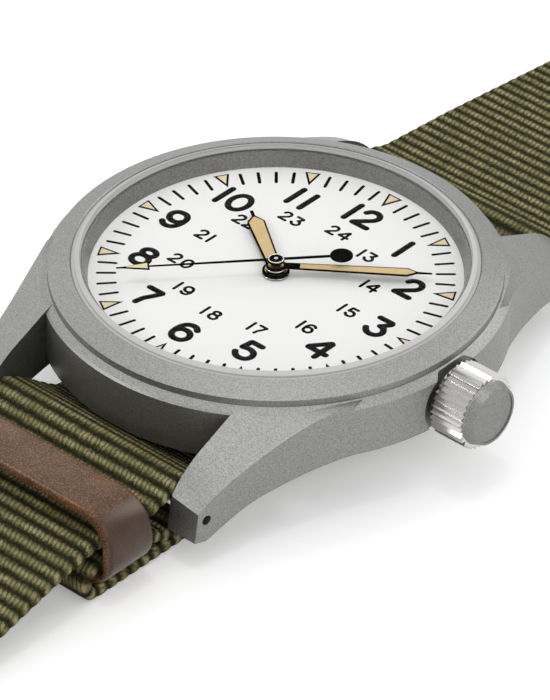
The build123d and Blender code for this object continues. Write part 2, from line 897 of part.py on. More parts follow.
# Going train
def make_barrel_drum():
    top = plate_low - drum_drop
    low = top - drum_h
    body = disc(drum_r, low, top, barrel_at)
    teeth_top = plate_low - drum_teeth_drop
    teeth_low = teeth_top - drum_teeth_h
    body += gear(barrel_teeth, barrel_module, teeth_low, teeth_top, barrel_at, barrel_deg + 180)
    body -= disc(drum_r - drum_wall, low + drum_wall / 2, top - drum_wall / 2, barrel_at)
    return body - disc(drum_arbor_hole_r, low - overrun, top + overrun, barrel_at)


def make_barrel_arbor():
    top = plate_low - drum_drop
    low = top - drum_h
    body = disc(drum_arbor_r, ratchet_top, plate_low + pivot_len, barrel_at)
    body += disc(mainspring_in_r - mainspring_t, low + drum_wall, top - drum_wall, barrel_at)
    square = stem_square_w * 2
    post = Box(square, square, ratchet_t, align=(Align.CENTER, Align.CENTER, Align.MIN))
    return body + Pos(barrel_at[0], barrel_at[1], ratchet_low) * post


def make_mainspring():
    top = plate_low - drum_drop - drum_wall
    low = plate_low - drum_drop - drum_h + drum_wall
    return spiral(mainspring_in_r, mainspring_pitch, mainspring_turns, mainspring_t, low, top, barrel_at)


def make_ratchet_wheel():
    to_crown = math.degrees(math.atan2(-barrel_at[1], crown_wheel_x - barrel_at[0]))
    body = gear(ratchet_teeth, ratchet_module, ratchet_low, ratchet_top, barrel_at, to_crown)
    square = stem_square_w * 2 + 2 * fit
    hole = Box(square, square, 3 * overrun, align=(Align.CENTER, Align.CENTER, Align.CENTER))
    return body - Pos(barrel_at[0], barrel_at[1], ratchet_low) * hole


def make_crown_wheel():
    to_barrel = math.degrees(math.atan2(barrel_at[1], barrel_at[0] - crown_wheel_x))
    body = gear(crown_wheel_teeth, ratchet_module, ratchet_low, ratchet_top, crown_wheel_at,
                facing_gap(to_barrel, crown_wheel_teeth), pinion=True)
    return body + disc(crown_wheel_hub_r, ratchet_top, bridge_top, crown_wheel_at)


def make_click():
    at = (click_x, click_y)
    body = disc(click_r, ratchet_low, ratchet_top, at)
    tip = ratchet_module * (ratchet_teeth / 2 + addendum_share) + running
    towards = math.degrees(math.atan2(barrel_at[1] - click_y, barrel_at[0] - click_x))
    reach = math.dist(at, barrel_at) - tip
    arm = Box(reach, click_w, ratchet_t, align=(Align.MIN, Align.CENTER, Align.MIN))
    body += Pos(click_x, click_y, ratchet_low) * Rot(0, 0, towards) * arm
    return body - disc(ratchet_module * ratchet_teeth / 2 + ratchet_module, 0, plate_top, barrel_at)


def wheel(teeth, module, z0, z1, at, tooth_deg, hub_r, arms=4):
    """A thin train wheel with a rim and arms."""
    body = gear(teeth, module, z0, z1, at, tooth_deg)
    rim = module * (teeth / 2 - dedendum_share) - rim_w
    return body - spokes(rim, hub_r, z0, z1, at, arms, tooth_deg)


def make_centre_wheel():
    top = plate_low - centre_wheel_drop
    low = top - centre_wheel_t
    hub_r = barrel_module * centre_pinion_teeth / 2
    body = wheel(centre_teeth, centre_module, low, top, (0, 0), third_deg, hub_r)
    body += gear(centre_pinion_teeth, barrel_module, low - centre_pinion_h, low, (0, 0),
                 facing_gap(barrel_deg, centre_pinion_teeth), pinion=True)
    body += disc(centre_arbor_r, low, dial_top + hour_plate_h)
    return body - disc(seconds_arbor_r + running, 0, crystal_top)


def make_third_wheel():
    top = plate_low - third_wheel_drop
    low = top - third_wheel_t
    body = wheel(third_teeth, third_module, low, top, third_at, third_deg + 180, 2 * arbor_r)
    pinion_top = plate_low - third_pinion_drop
    body += gear(third_pinion_teeth, centre_module, pinion_top - third_pinion_h, pinion_top, third_at,
                 facing_gap(third_deg + 180, third_pinion_teeth), pinion=True)
    body += disc(arbor_r, bridge_top + fit, pinion_top, third_at)
    return body + disc(pivot_r, bridge_top - pivot_len, plate_low + pivot_len, third_at)


def make_fourth_wheel():
    top = plate_low - fourth_wheel_drop
    low = top - fourth_wheel_t
    pinion_top = plate_low - fourth_pinion_drop
    pinion_low = pinion_top - fourth_pinion_h
    hub_r = third_module * fourth_pinion_teeth / 2
    body = wheel(fourth_teeth, fourth_module, low, top, (0, 0), escape_deg, hub_r)
    body += gear(fourth_pinion_teeth, third_module, pinion_low, pinion_top, (0, 0),
                 facing_gap(third_deg, fourth_pinion_teeth), pinion=True)
    body += disc(seconds_arbor_r, bridge_top + fit, dial_top + seconds_plate_h + hand_t)
    body += disc(2 * arbor_r, top - fit, pinion_low + fit)
    return body + disc(pivot_r, bridge_top - pivot_len, bridge_top + overrun)


def make_escape_wheel():
    top = plate_low - escape_wheel_drop
    low = top - escape_wheel_t
    root_r = escape_r - escape_tooth_h
    points = []
    for i in range(escape_teeth):
        for r, step in ((root_r, 0), (escape_r, 0.35), (escape_r, 0.5), (root_r, 0.62)):
            points.append(polar(r, (i + step) * 360 / escape_teeth))
    body = Pos(escape_at[0], escape_at[1], 0) * plate_from(points, low, top)
    body -= spokes(root_r - escape_rim_w, 2 * arbor_r, low, top, escape_at, 4)
    pinion_top = plate_low - escape_pinion_drop
    body += gear(escape_pinion_teeth, fourth_module, pinion_top - escape_pinion_h, pinion_top, escape_at,
                 facing_gap(escape_deg + 180, escape_pinion_teeth), pinion=True)
    body += disc(arbor_r, bridge_top + fit, plate_low - fit, escape_at)
    return body + disc(pivot_r, bridge_top - pivot_len, plate_low + pivot_len, escape_at)


escape_to_balance = math.degrees(math.atan2(balance_at[1] - escape_at[1], balance_at[0] - escape_at[0]))
pallet_at = tuple(e + p for e, p in zip(escape_at, polar(pallet_from_escape, escape_to_balance)))


def make_pallet_fork():
    top = plate_low - pallet_drop
    low = top - pallet_t
    lever = Box(fork_len, fork_w, pallet_t, align=(Align.MIN, Align.CENTER, Align.MIN))
    arms = Box(pallet_arm_w, 2 * pallet_arm_len, pallet_t, align=(Align.CENTER, Align.CENTER, Align.MIN))
    slot = Box(fork_len / 4, fork_w / 2, 3 * pallet_t, align=(Align.MAX, Align.CENTER, Align.CENTER))
    body = lever + arms - Pos(fork_len + fit, 0, 0) * slot
    for side in (-1, 1):
        stone = Box(stone_len, stone_w, pallet_t, align=(Align.MAX, Align.CENTER, Align.MIN))
        body += Pos(-pallet_arm_w / 2 + fit, side * (pallet_arm_len - stone_w / 2), 0) * stone
    body = Pos(pallet_at[0], pallet_at[1], low) * Rot(0, 0, escape_to_balance) * body
    body += disc(arbor_r, low - pallet_t, plate_low - fit, pallet_at)
    return body + disc(pivot_r, low, plate_low + pivot_len, pallet_at)


def make_balance():
    top = plate_low - balance_drop
    low = top - balance_h
    body = ring(balance_r, balance_r - balance_rim_w, low, top, balance_at)
    arm = Box(2 * balance_r - balance_rim_w, balance_arm_w, balance_h / 2,
              align=(Align.CENTER, Align.CENTER, Align.MIN))
    body += Pos(balance_at[0], balance_at[1], low) * Rot(0, 0, escape_to_balance) * arm
    body += disc(staff_r, bridge_top + fit, plate_low - fit, balance_at)
    body += disc(roller_r, low - fit, low + balance_h / 2, balance_at)
    return body + disc(pivot_r, bridge_top - pivot_len, plate_low + pivot_len, balance_at)


def make_hairspring():
    top = plate_low - hairspring_drop
    coil = spiral(hairspring_in_r, hairspring_pitch, hairspring_turns, hairspring_t,
                  top - hairspring_h, top, balance_at)
    collet = ring(hairspring_in_r + hairspring_t / 2, staff_r + fit, top - hairspring_h, top, balance_at)
    return coil + collet


# Motion works and hands
def make_cannon_pinion():
    low = motion_floor + running
    body = gear(cannon_teeth, motion_module, low, low + cannon_h, (0, 0),
                facing_gap(minute_wheel_deg, cannon_teeth), pinion=True)
    body += disc(cannon_tube_r, low, dial_top + minute_plate_h + hand_t)
    return body - disc(centre_arbor_r + fit, 0, crystal_top)


def make_minute_wheel():
    low = motion_floor + running
    top = low + motion_wheel_t
    body = gear(minute_wheel_teeth, motion_module, low, top, minute_wheel_at, minute_wheel_deg + 180)
    pinion_top = low + cannon_h + hour_wheel_t + running
    pinion_turn = facing_gap(minute_wheel_deg + 180, minute_pinion_teeth)
    body += gear(minute_pinion_teeth, hour_module, top, pinion_top, minute_wheel_at, pinion_turn, pinion=True)
    return body - disc(motion_post_r + running, 0, crystal_top, minute_wheel_at)


def make_hour_wheel():
    low = motion_floor + cannon_h + 2 * running
    body = gear(hour_teeth, hour_module, low, low + hour_wheel_t, (0, 0), minute_wheel_deg)
    body += disc(hour_pipe_r, low, dial_top + hour_plate_h + hand_t)
    return body - disc(cannon_tube_r + running, 0, crystal_top)


def make_setting_wheel():
    low = motion_floor + running
    pitch = 360 / minute_wheel_teeth
    offset = (setting_deg - minute_wheel_deg - 180) % pitch
    turn = setting_deg + 180 + offset * minute_wheel_teeth / setting_teeth
    body = gear(setting_teeth, motion_module, low, low + motion_wheel_t, setting_at,
                facing_gap(turn, setting_teeth), pinion=True)
    return body - disc(motion_post_r + running, 0, crystal_top, setting_at)


def hand_plate(points, low, deg):
    """A hand's flat plate, from half its outline, turned to its clock angle."""
    right = [(w, y) for y, w in points]
    left = [(-w, y) for y, w in reversed(points)]
    return Rot(0, 0, -deg) * plate_from(right + left, low, low + hand_t)


def make_hour_hand():
    low = dial_top + hour_plate_h
    outline = [(hour_root_y, hour_root_w), (hour_shoulder_y, hour_shoulder_w), (hour_needle_y, hour_needle_w),
               (hour_len, hour_needle_w)]
    body = hand_plate(outline, low, hour_deg)
    body += disc(hour_hub_r, low + hand_t - hour_hub_h, low + hand_t)
    return body - disc(hour_pipe_r + fit, 0, crystal_top)


def make_minute_hand():
    low = dial_top + minute_plate_h
    outline = [(minute_root_y, minute_root_w), (minute_shoulder_y, minute_shoulder_w),
               (minute_needle_y, minute_needle_w), (minute_len, minute_needle_w / 2)]
    body = hand_plate(outline, low, minute_deg)
    body += disc(minute_hub_r, low + hand_t - minute_hub_h, low + hand_t)
    return body - disc(cannon_tube_r + fit, 0, crystal_top)


def make_seconds_hand():
    low = dial_top + seconds_plate_h
    outline = [(-seconds_disc_y, seconds_root_w), (0, seconds_root_w), (seconds_head_y, seconds_tip_w),
               (seconds_head_y, seconds_head_w), (seconds_head_end_y, seconds_tip_w),
               (seconds_len, seconds_tip_w)]
    body = hand_plate(outline, low, seconds_deg)
    body += disc(seconds_hub_r, low + hand_t - seconds_hub_h, low + hand_t)
    body += disc(seconds_disc_r, low, low + hand_t, polar(seconds_disc_y, clock(seconds_deg + 180)))
    return body - disc(seconds_arbor_r + fit, 0, crystal_top)


# Keyless works
def make_winding_pinion():
    start = winding_pinion_x
    body = rod(clutch_r, start, start + winding_pinion_w, 0, stem_z)
    return body - rod(stem_round_r + running, 0, crown_face_x, 0, stem_z)


def make_sliding_pinion():
    start = sliding_pinion_x
    groove = start + sliding_pinion_w / 2 - clutch_groove_w / 2
    body = rod(clutch_r, start, start + sliding_pinion_w, 0, stem_z)
    groove_end = groove + clutch_groove_w
    core = rod(clutch_groove_r, groove - overrun, groove_end + overrun, 0, stem_z)
    body -= rod(crown_r, groove, groove_end, 0, stem_z) - core
    half = stem_square_w / 2 + running
    return body - block(0, crown_face_x, -half, half, stem_z - half, stem_z + half)


def make_setting_lever():
    x = stem_groove_x + stem_groove_w / 2
    low = plate_top - lever_drop
    body = disc(lever_w / 2, low, low + lever_t, (x, lever_pivot_y))
    body += disc(lever_w / 2, low, low + lever_t, (x, 0))
    body += block(x - lever_w / 2, x + lever_w / 2, 0, lever_pivot_y, low, low + lever_t)
    return body + disc(lever_pin_r, stem_z + stem_groove_r + running, low, (x, 0))


def make_yoke():
    groove_x = sliding_pinion_x + sliding_pinion_w / 2
    low = stem_z - yoke_t / 2
    arm = plate_from([
        (groove_x - yoke_w / 2, yoke_pivot_y),
        (groove_x - yoke_tip_w / 2, -clutch_r - running),
        (groove_x - yoke_tip_w / 2, yoke_tip_y),
        (groove_x + yoke_tip_w / 2, yoke_tip_y),
        (groove_x + yoke_tip_w / 2, -clutch_r - running),
        (groove_x + yoke_w / 2, yoke_pivot_y),
    ], low, low + yoke_t)
    return arm + disc(yoke_w / 2, low, low + yoke_t, (groove_x, yoke_pivot_y))


# Screws and jewels
def make_bridge_screws():
    body = []
    for deg in barrel_bridge_pillars_deg + train_bridge_pillars_deg + (cock_pillar_deg,):
        at = polar(pillar_place_r, deg)
        head = disc(screw_r, bridge_low - screw_head_h, bridge_low, at)
        slot = Box(3 * screw_r, screw_slot_w, screw_slot_d, align=(Align.CENTER, Align.CENTER, Align.MIN))
        head -= Pos(at[0], at[1], bridge_low - screw_head_h) * Rot(0, 0, deg) * slot
        body.append(head + disc(screw_shank_r, bridge_low, plate_low - fit, at))
    return Compound(children=body)


def make_jewels():
    places = ((0, 0), third_at, escape_at, balance_at)
    return Compound(children=[ring(jewel_r, jewel_hole_r, bridge_low, bridge_top, at) for at in places])


# Strap
def ribbon(points, radii, width=strap_w):
    """A flat band of the strap's thickness along a path in the Y-Z plane."""
    path = FilletPolyline(*[(0, y, z) for y, z in points], radius=radii)
    section = Plane(origin=path @ 0, z_dir=path % 0, x_dir=(1, 0, 0)) * Rectangle(width, strap_t)
    return sweep(section, path=path)


main_z = 1.5 * strap_t + soft_gap
far_z = main_z + leather_t + soft_gap
wrap_r = bar_tube_r + bar_wrap + strap_t / 2
loop_r = buckle_bar_r + bar_wrap / 2 + strap_t / 2


def make_strap_main():
    points = [
        (tail_end_y, lying_z),
        (tail_floor_y, lying_z),
        (-case_r - keeper_exit_out, keeper_exit_z),
        *[(y - case_r, z) for y, z in near_slope],
        (under_end_in - case_r, main_z),
        (case_r - under_end_in, main_z),
        *[(y + case_r, z) for y, z in far_slope],
        (case_r + far_slope_out, far_z),
        (buckle_bar_y - 3 * loop_r, far_z),
        (buckle_bar_y - loop_r / 2, buckle_bar_z + loop_r),
        (buckle_bar_y + loop_r, buckle_bar_z + loop_r),
        (buckle_bar_y + loop_r, buckle_bar_z - loop_r),
        (flap_start_y + strap_t, buckle_bar_z - loop_r),
    ]
    body = ribbon(points, strap_radii(points))
    tip = block(-strap_half_w, strap_half_w, tail_end_y, tail_end_y + tail_tip_r, 0, strap_t)
    tip -= Pos(0, tail_end_y + strap_half_w, 0) * Cylinder(strap_half_w, 3 * strap_t)
    body -= tip
    for i in range(tail_holes):
        y = tail_end_y + tail_hole_first + i * tail_hole_pitch
        body -= disc(tail_hole_r, -overrun, 2 * strap_t, (0, y))
    slot_half = tongue_slot_w / 2
    body -= block(-slot_half, slot_half, buckle_bar_y - slot_back, buckle_bar_y + 3 * loop_r, 0, crystal_top)
    return body


def strap_radii(points):
    """A bend radius for each inner point: nearly all that its two runs allow, and tight beside the case."""
    radii = []
    for a, b, c in zip(points, points[1:], points[2:]):
        into, out = (b[0] - a[0], b[1] - a[1]), (c[0] - b[0], c[1] - b[1])
        turn = abs(math.atan2(into[0] * out[1] - into[1] * out[0], into[0] * out[0] + into[1] * out[1]))
        short = min(math.hypot(*into), math.hypot(*out))
        limit = strap_bend_r if abs(b[0]) < bar_y + wrap_r else strap_long_bend_r
        radii.append(min(bend_run_share * short / math.tan(turn / 2), limit))
    return radii


def make_strap_under():
    upper_z = 1.5 * strap_t + fold_inner_h
    fold_y = -case_r - fold_out - upper_z / 2
    points = [
        (flap_start_y, lying_z),
        (fold_y, lying_z),
        (fold_y, upper_z),
        (-case_r - fold_step_out, upper_z),
        (-case_r - fold_join_out, main_z),
        (-case_r - fold_end_out, main_z),
    ]
    return ribbon(points, strap_radii(points))


def loop_band(length, y, low, high_back, high_front, half_w, rounds):
    """A leather loop whose top may slope, with rounds for its outer top and foot and then its inner ones."""
    outer_top, outer_foot, inner_top, inner_foot = rounds

    def hoop(at_y, high, grow):
        h = high - low + 2 * grow
        top_round = outer_top if grow else inner_top
        low_round = outer_foot if grow else inner_foot
        face = Rectangle(2 * (half_w + grow), h)
        face = fillet(face.vertices().sort_by(Axis.Y)[-2:], top_round)
        face = fillet(face.vertices().sort_by(Axis.Y)[:2], low_round)
        return Plane(origin=(0, at_y, low - grow + h / 2), x_dir=(1, 0, 0), z_dir=(0, -1, 0)) * face

    outer = loft([hoop(y, high_front, leather_t), hoop(y + length, high_back, leather_t)])
    inner = loft([hoop(y - overrun, high_front, 0), hoop(y + length + overrun, high_back, 0)])
    return outer - inner


def make_keeper_lug():
    low = strap_t + soft_gap + leather_t
    half = strap_half_w + keeper_gap
    tops = (lug_keeper_back_h, lug_keeper_front_h)
    return loop_band(keeper_len, -case_r - lug_keeper_out, low, *tops, half, lug_keeper_rounds)


def make_free_keeper(y):
    low = far_z - strap_t / 2 - soft_gap
    high = low + strap_t + keeper_free_h
    return loop_band(keeper_len, y, low, high, high, strap_half_w + keeper_gap, keeper_rounds)


# Buckle
def make_buckle_frame():
    corners = [
        (-buckle_half_w, buckle_bar_y, buckle_bar_z),
        (-buckle_half_w, buckle_bar_y + buckle_len, buckle_bar_z - buckle_front_drop),
        (buckle_half_w, buckle_bar_y + buckle_len, buckle_bar_z - buckle_front_drop),
        (buckle_half_w, buckle_bar_y, buckle_bar_z),
    ]
    path = FilletPolyline(*corners, radius=buckle_corner_r)
    section = Plane(origin=path @ 0, z_dir=path % 0) * Circle(buckle_wire_r)
    body = sweep(section, path=path)
    for x in (-buckle_half_w, buckle_half_w):
        body += rod(buckle_eye_r, x - buckle_eye_w / 2, x + buckle_eye_w / 2, buckle_bar_y, buckle_bar_z)
    return body - rod(buckle_bar_r + fit, -2 * buckle_half_w, 2 * buckle_half_w, buckle_bar_y, buckle_bar_z)


def make_buckle_bar():
    half = buckle_half_w + buckle_wire_r / 2
    return rod(buckle_bar_r, -half, half, buckle_bar_y, buckle_bar_z)


def make_tongue():
    outer = buckle_bar_r + running + tongue_loop_wall
    half = tongue_slot_w / 2 - running * 2
    body = rod(outer, -half, half, buckle_bar_y, buckle_bar_z)
    top = buckle_bar_z - buckle_front_drop + buckle_wire_r + tongue_r + running
    start = (0, buckle_bar_y, buckle_bar_z + (outer + buckle_bar_r) / 2)
    end = (0, buckle_bar_y + buckle_len + buckle_wire_r, top)
    line = Line(start, end)
    body += sweep(Plane(origin=line @ 0, z_dir=line % 0) * Circle(tongue_r * 0.9), path=line)
    return body - rod(buckle_bar_r + running, -strap_w, strap_w, buckle_bar_y, buckle_bar_z)


pieces = {
    "mid_case": make_mid_case(),
    "bezel": make_bezel(),
    "crystal": make_crystal(),
    "crystal_gasket": make_crystal_gasket(),
    "rehaut_ring": make_rehaut(),
    "dial": make_dial(),
    "case_back": make_case_back(),
    "back_gasket": make_back_gasket(),
    "movement_holder": make_movement_holder(),
    "bar_tube_12": make_bar_tube(bar_y),
    "bar_tube_6": make_bar_tube(-bar_y),
    "bar_pin_12_right": make_bar_pin(bar_y, 1),
    "bar_pin_12_left": make_bar_pin(bar_y, -1),
    "bar_pin_6_right": make_bar_pin(-bar_y, 1),
    "bar_pin_6_left": make_bar_pin(-bar_y, -1),
    "crown": make_crown(),
    "crown_tube": make_crown_tube(),
    "crown_gasket": make_crown_gasket(),
    "winding_stem": make_stem(),
    "mainplate": make_mainplate(),
    "barrel_bridge": make_barrel_bridge(),
    "train_bridge": make_train_bridge(),
    "balance_cock": make_balance_cock(),
    "barrel_drum": make_barrel_drum(),
    "barrel_arbor": make_barrel_arbor(),
    "mainspring": make_mainspring(),
    "ratchet_wheel": make_ratchet_wheel(),
    "crown_wheel": make_crown_wheel(),
    "click": make_click(),
    "centre_wheel": make_centre_wheel(),
    "third_wheel": make_third_wheel(),
    "fourth_wheel": make_fourth_wheel(),
    "escape_wheel": make_escape_wheel(),
    "pallet_fork": make_pallet_fork(),
    "balance_wheel": make_balance(),
    "hairspring": make_hairspring(),
    "cannon_pinion": make_cannon_pinion(),
    "minute_wheel": make_minute_wheel(),
    "hour_wheel": make_hour_wheel(),
    "setting_wheel": make_setting_wheel(),
    "hour_hand": make_hour_hand(),
    "minute_hand": make_minute_hand(),
    "seconds_hand": make_seconds_hand(),
    "winding_pinion": make_winding_pinion(),
    "sliding_pinion": make_sliding_pinion(),
    "setting_lever": make_setting_lever(),
    "yoke": make_yoke(),
    "bridge_screws": make_bridge_screws(),
    "jewels": make_jewels(),
    "strap_main": make_strap_main(),
    "strap_under": make_strap_under(),
    "keeper_lug": make_keeper_lug(),
    "keeper_fixed": make_free_keeper(fixed_keeper_y),
    "keeper_sliding": make_free_keeper(sliding_keeper_y),
    "buckle_frame": make_buckle_frame(),
    "buckle_bar": make_buckle_bar(),
    "buckle_tongue": make_tongue(),
}

for name, piece in pieces.items():
    export_step(piece, f"parts/{name}.step")
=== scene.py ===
import json
import math

import bpy
from mathutils import Matrix, Vector


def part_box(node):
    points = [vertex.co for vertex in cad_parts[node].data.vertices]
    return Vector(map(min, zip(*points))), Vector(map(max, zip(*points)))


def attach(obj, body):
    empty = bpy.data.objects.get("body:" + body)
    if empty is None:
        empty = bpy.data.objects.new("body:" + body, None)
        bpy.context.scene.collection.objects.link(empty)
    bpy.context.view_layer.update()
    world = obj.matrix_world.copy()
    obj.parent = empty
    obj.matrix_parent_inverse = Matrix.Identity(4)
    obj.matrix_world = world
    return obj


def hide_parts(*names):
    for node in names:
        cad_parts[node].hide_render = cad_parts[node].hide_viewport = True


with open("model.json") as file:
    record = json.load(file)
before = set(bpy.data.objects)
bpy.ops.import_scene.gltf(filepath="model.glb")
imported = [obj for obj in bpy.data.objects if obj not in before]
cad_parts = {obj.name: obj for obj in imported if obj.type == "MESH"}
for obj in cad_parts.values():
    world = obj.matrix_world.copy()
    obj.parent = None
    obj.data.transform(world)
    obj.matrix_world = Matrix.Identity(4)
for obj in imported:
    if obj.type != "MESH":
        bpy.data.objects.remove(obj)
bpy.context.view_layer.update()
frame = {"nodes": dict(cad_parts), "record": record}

MM = 0.001
NODES = frame["nodes"]

# The dial's face lies a little below the foot of the slanted ring
REHAUT_GAP = 0.02 * MM
DIAL_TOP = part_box("rehaut_ring")[0][2] - REHAUT_GAP

# Keeps a division away from zero
TINY = 1e-9


# Colours
def linear(red, green, blue):
    """A colour given in the 0 to 255 values of a picture, as a linear colour."""
    values = []
    for v in (red, green, blue):
        v /= 255
        values.append(v / 12.92 if v <= 0.04045 else ((v + 0.055) / 1.055) ** 2.4)
    return (*values, 1)


def tinted(colour, red, green, blue):
    """A colour with each of its channels multiplied, and none of them above one."""
    return (*(min(1, c * share) for c, share in zip(colour, (red, green, blue))), 1)


def toned(colour, share):
    """A darker or lighter tone of a colour."""
    return tinted(colour, share, share, share)


# Materials
# The part of a noise's range that most of its values lie in, for a strong and for a softer contrast
NARROW = (0.35, 0.65)
WIDE = (0.3, 0.7)
# The sockets of a mix node that carry colours
MIX_FIRST, MIX_SECOND, MIX_RESULT = 6, 7, 2


class Tree:
    """A node tree, with short calls for the nodes that this scene uses."""

    def __init__(self, tree):
        self.tree = tree

    def node(self, kind, **settings):
        made = self.tree.nodes.new(kind)
        for key, value in settings.items():
            setattr(made, key, value)
        return made

    def link(self, value, socket):
        """Join an output to an input, or set the input where the value is a plain number or colour."""
        if isinstance(value, bpy.types.NodeSocket):
            self.tree.links.new(value, socket)
        else:
            socket.default_value = value

    def math(self, operation, a, b=0.0):
        made = self.node("ShaderNodeMath", operation=operation)
        self.link(a, made.inputs[0])
        self.link(b, made.inputs[1])
        return made.outputs[0]

    def blend(self, share, a, b):
        """The first surface where the share is zero, and the second where it is one."""
        made = self.node("ShaderNodeMixShader")
        for i, value in enumerate((share, a, b)):
            self.link(value, made.inputs[i])
        return made.outputs[0]

    def seen(self):
        """One for the rays that show the background: from the camera, off metal, and through glass."""
        path = self.node("ShaderNodeLightPath")
        share = path.outputs["Is Camera Ray"]
        for kind in ("Is Glossy Ray", "Is Transmission Ray"):
            share = self.math("MAXIMUM", share, path.outputs[kind])
        return share


class Shader(Tree):
    """A material's node tree, round its Principled BSDF."""

    def __init__(self, name, colour, roughness, metallic=0.0, specular=0.5):
        self.material = bpy.data.materials.new(name)
        self.material.use_nodes = True
        super().__init__(self.material.node_tree)
        self.bsdf = self.tree.nodes["Principled BSDF"]
        self.output = self.tree.nodes["Material Output"]
        self.bsdf.inputs["Base Color"].default_value = colour
        self.bsdf.inputs["Roughness"].default_value = roughness
        self.bsdf.inputs["Metallic"].default_value = metallic
        self.bsdf.inputs["Specular IOR Level"].default_value = specular
        self.place = self.node("ShaderNodeTexCoord").outputs["Object"]

    def axes(self, vector):
        """The X, Y and Z of a vector."""
        made = self.node("ShaderNodeSeparateXYZ")
        self.link(vector, made.inputs[0])
        return made.outputs

    def facing(self, axis):
        """How far the surface faces along an axis, in the piece's own coordinates."""
        return self.axes(self.node("ShaderNodeTexCoord").outputs["Normal"])[axis]

    def noise(self, size, detail):
        """Noise whose features are about the given size in metres."""
        moved = self.node("ShaderNodeMapping")
        moved.inputs["Scale"].default_value = [1 / size] * 3
        self.link(self.place, moved.inputs["Vector"])
        made = self.node("ShaderNodeTexNoise")
        self.link(moved.outputs[0], made.inputs["Vector"])
        made.inputs["Scale"].default_value = 1.0
        made.inputs["Detail"].default_value = detail
        return made.outputs["Fac"]

    def spread(self, value, low, high, to_low=0.0, to_high=1.0):
        """The range from low to high, stretched to another range."""
        made = self.node("ShaderNodeMapRange")
        for i, v in enumerate((value, low, high, to_low, to_high)):
            self.link(v, made.inputs[i])
        return made.outputs[0]

    def sway(self, noise, amount):
        """A noise as a swing to both sides of zero."""
        return self.spread(noise, *WIDE, -amount, amount)

    def mix(self, share, a, b):
        """The first colour where the share is zero, and the second where it is one."""
        made = self.node("ShaderNodeMix", data_type="RGBA")
        self.link(share, made.inputs[0])
        self.link(a, made.inputs[MIX_FIRST])
        self.link(b, made.inputs[MIX_SECOND])
        return made.outputs[MIX_RESULT]

    def bump(self, height, depth):
        made = self.node("ShaderNodeBump")
        made.inputs["Distance"].default_value = depth
        self.link(height, made.inputs["Height"])
        self.link(made.outputs[0], self.bsdf.inputs["Normal"])

    def colour(self, value):
        self.link(value, self.bsdf.inputs["Base Color"])

    def rough(self, value):
        self.link(value, self.bsdf.inputs["Roughness"])

    def surface(self, value):
        self.link(value, self.output.inputs["Surface"])


def plain(name, colour, roughness, metallic=0.0, specular=0.5):
    """One colour all over."""
    return Shader(name, colour, roughness, metallic, specular).material


STEEL_GRAIN, REHAUT_GRAIN = 0.12 * MM, 0.16 * MM
STEEL_DETAIL = 3.0
STEEL_RELIEF = 0.02 * MM
STEEL_DARK_SHARE, STEEL_LIGHT_SHARE = 0.78, 1.22


def blasted_steel(name, colour, roughness, grain):
    """Bead-blasted steel: a fine speckle in tone and relief."""
    s = Shader(name, colour, roughness, metallic=1.0)
    speckle = s.noise(grain, STEEL_DETAIL)
    dark, light = toned(colour, STEEL_DARK_SHARE), toned(colour, STEEL_LIGHT_SHARE)
    s.colour(s.mix(s.spread(speckle, *NARROW), dark, light))
    s.bump(speckle, STEEL_RELIEF)
    return s.material


# How far the crown's satin end reaches in from its outer face
CROWN_SATIN = 0.82 * MM
FLUTE_ROUGH, SATIN_ROUGH = 0.2, 0.42


def crown_steel():
    """Bright flutes, with a satin cone and end face."""
    bright = linear(205, 204, 202)
    s = Shader("crown_steel", bright, FLUTE_ROUGH, metallic=1.0)
    front = s.math("GREATER_THAN", s.axes(s.place)["X"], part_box("crown")[1][0] - CROWN_SATIN)
    speckle = s.noise(STEEL_GRAIN, STEEL_DETAIL)
    satin = s.mix(s.spread(speckle, *NARROW), linear(120, 120, 118), linear(144, 144, 142))
    s.colour(s.mix(front, bright, satin))
    s.rough(s.spread(front, 0.0, 1.0, FLUTE_ROUGH, SATIN_ROUGH))
    return s.material


SAPPHIRE_IOR = 1.77
SHEEN_TINT = (0.06, 0.06, 0.06, 1)
# The share of the crystal's look that is bare refraction, without the sheen
CLEAR_SHARE = 0.95
# The crystal's edge shows a painted light grey, standing in for the light seen in its bevel, where it faces
# up or down less than this
FLAT_ENOUGH = 0.97


def sapphire():
    """Clear refracting crystal with a faint sheen, and a painted greyish edge that stands in for the light
    seen in its bevel.

    Shadow and diffuse light pass straight through it.
    """
    s = Shader("sapphire_clear", (1, 1, 1, 1), roughness=0.0)
    s.bsdf.inputs["Transmission Weight"].default_value = 1.0
    s.bsdf.inputs["IOR"].default_value = SAPPHIRE_IOR
    s.bsdf.inputs["Specular Tint"].default_value = SHEEN_TINT
    bend = s.node("ShaderNodeBsdfRefraction")
    bend.inputs["IOR"].default_value = SAPPHIRE_IOR
    face = s.blend(CLEAR_SHARE, s.bsdf.outputs[0], bend.outputs[0])
    # A painted light grey on the crystal's edge, standing in for the light that its bevel gathers from the
    # metal round it
    edge = s.node("ShaderNodeBsdfDiffuse")
    edge.inputs["Color"].default_value = linear(205, 205, 203)
    painted_edge_mask = s.math("LESS_THAN", s.math("ABSOLUTE", s.facing("Z")), FLAT_ENOUGH)
    whole = s.blend(painted_edge_mask, face, edge.outputs[0])
    path = s.node("ShaderNodeLightPath")
    passing = s.math("MAXIMUM", path.outputs["Is Shadow Ray"], path.outputs["Is Diffuse Ray"])
    clear = s.node("ShaderNodeBsdfTransparent")
    s.surface(s.blend(passing, whole, clear.outputs[0]))
    return s.material


LUME_PATCH = 0.9 * MM
LUME_WARM_SHARES = (0.97, 0.9, 0.8)


def lume(name, colour):
    """Luminous paste, slightly uneven in tone."""
    s = Shader(name, colour, roughness=0.7)
    tone = s.noise(LUME_PATCH, detail=2.0)
    s.colour(s.mix(s.spread(tone, *NARROW), colour, tinted(colour, *LUME_WARM_SHARES)))
    return s.material


# Webbing: the pitch of its ribs and of the stitches along them
WEAVE_RIB = 1.2 * MM
WEAVE_BEAD = 0.42 * MM
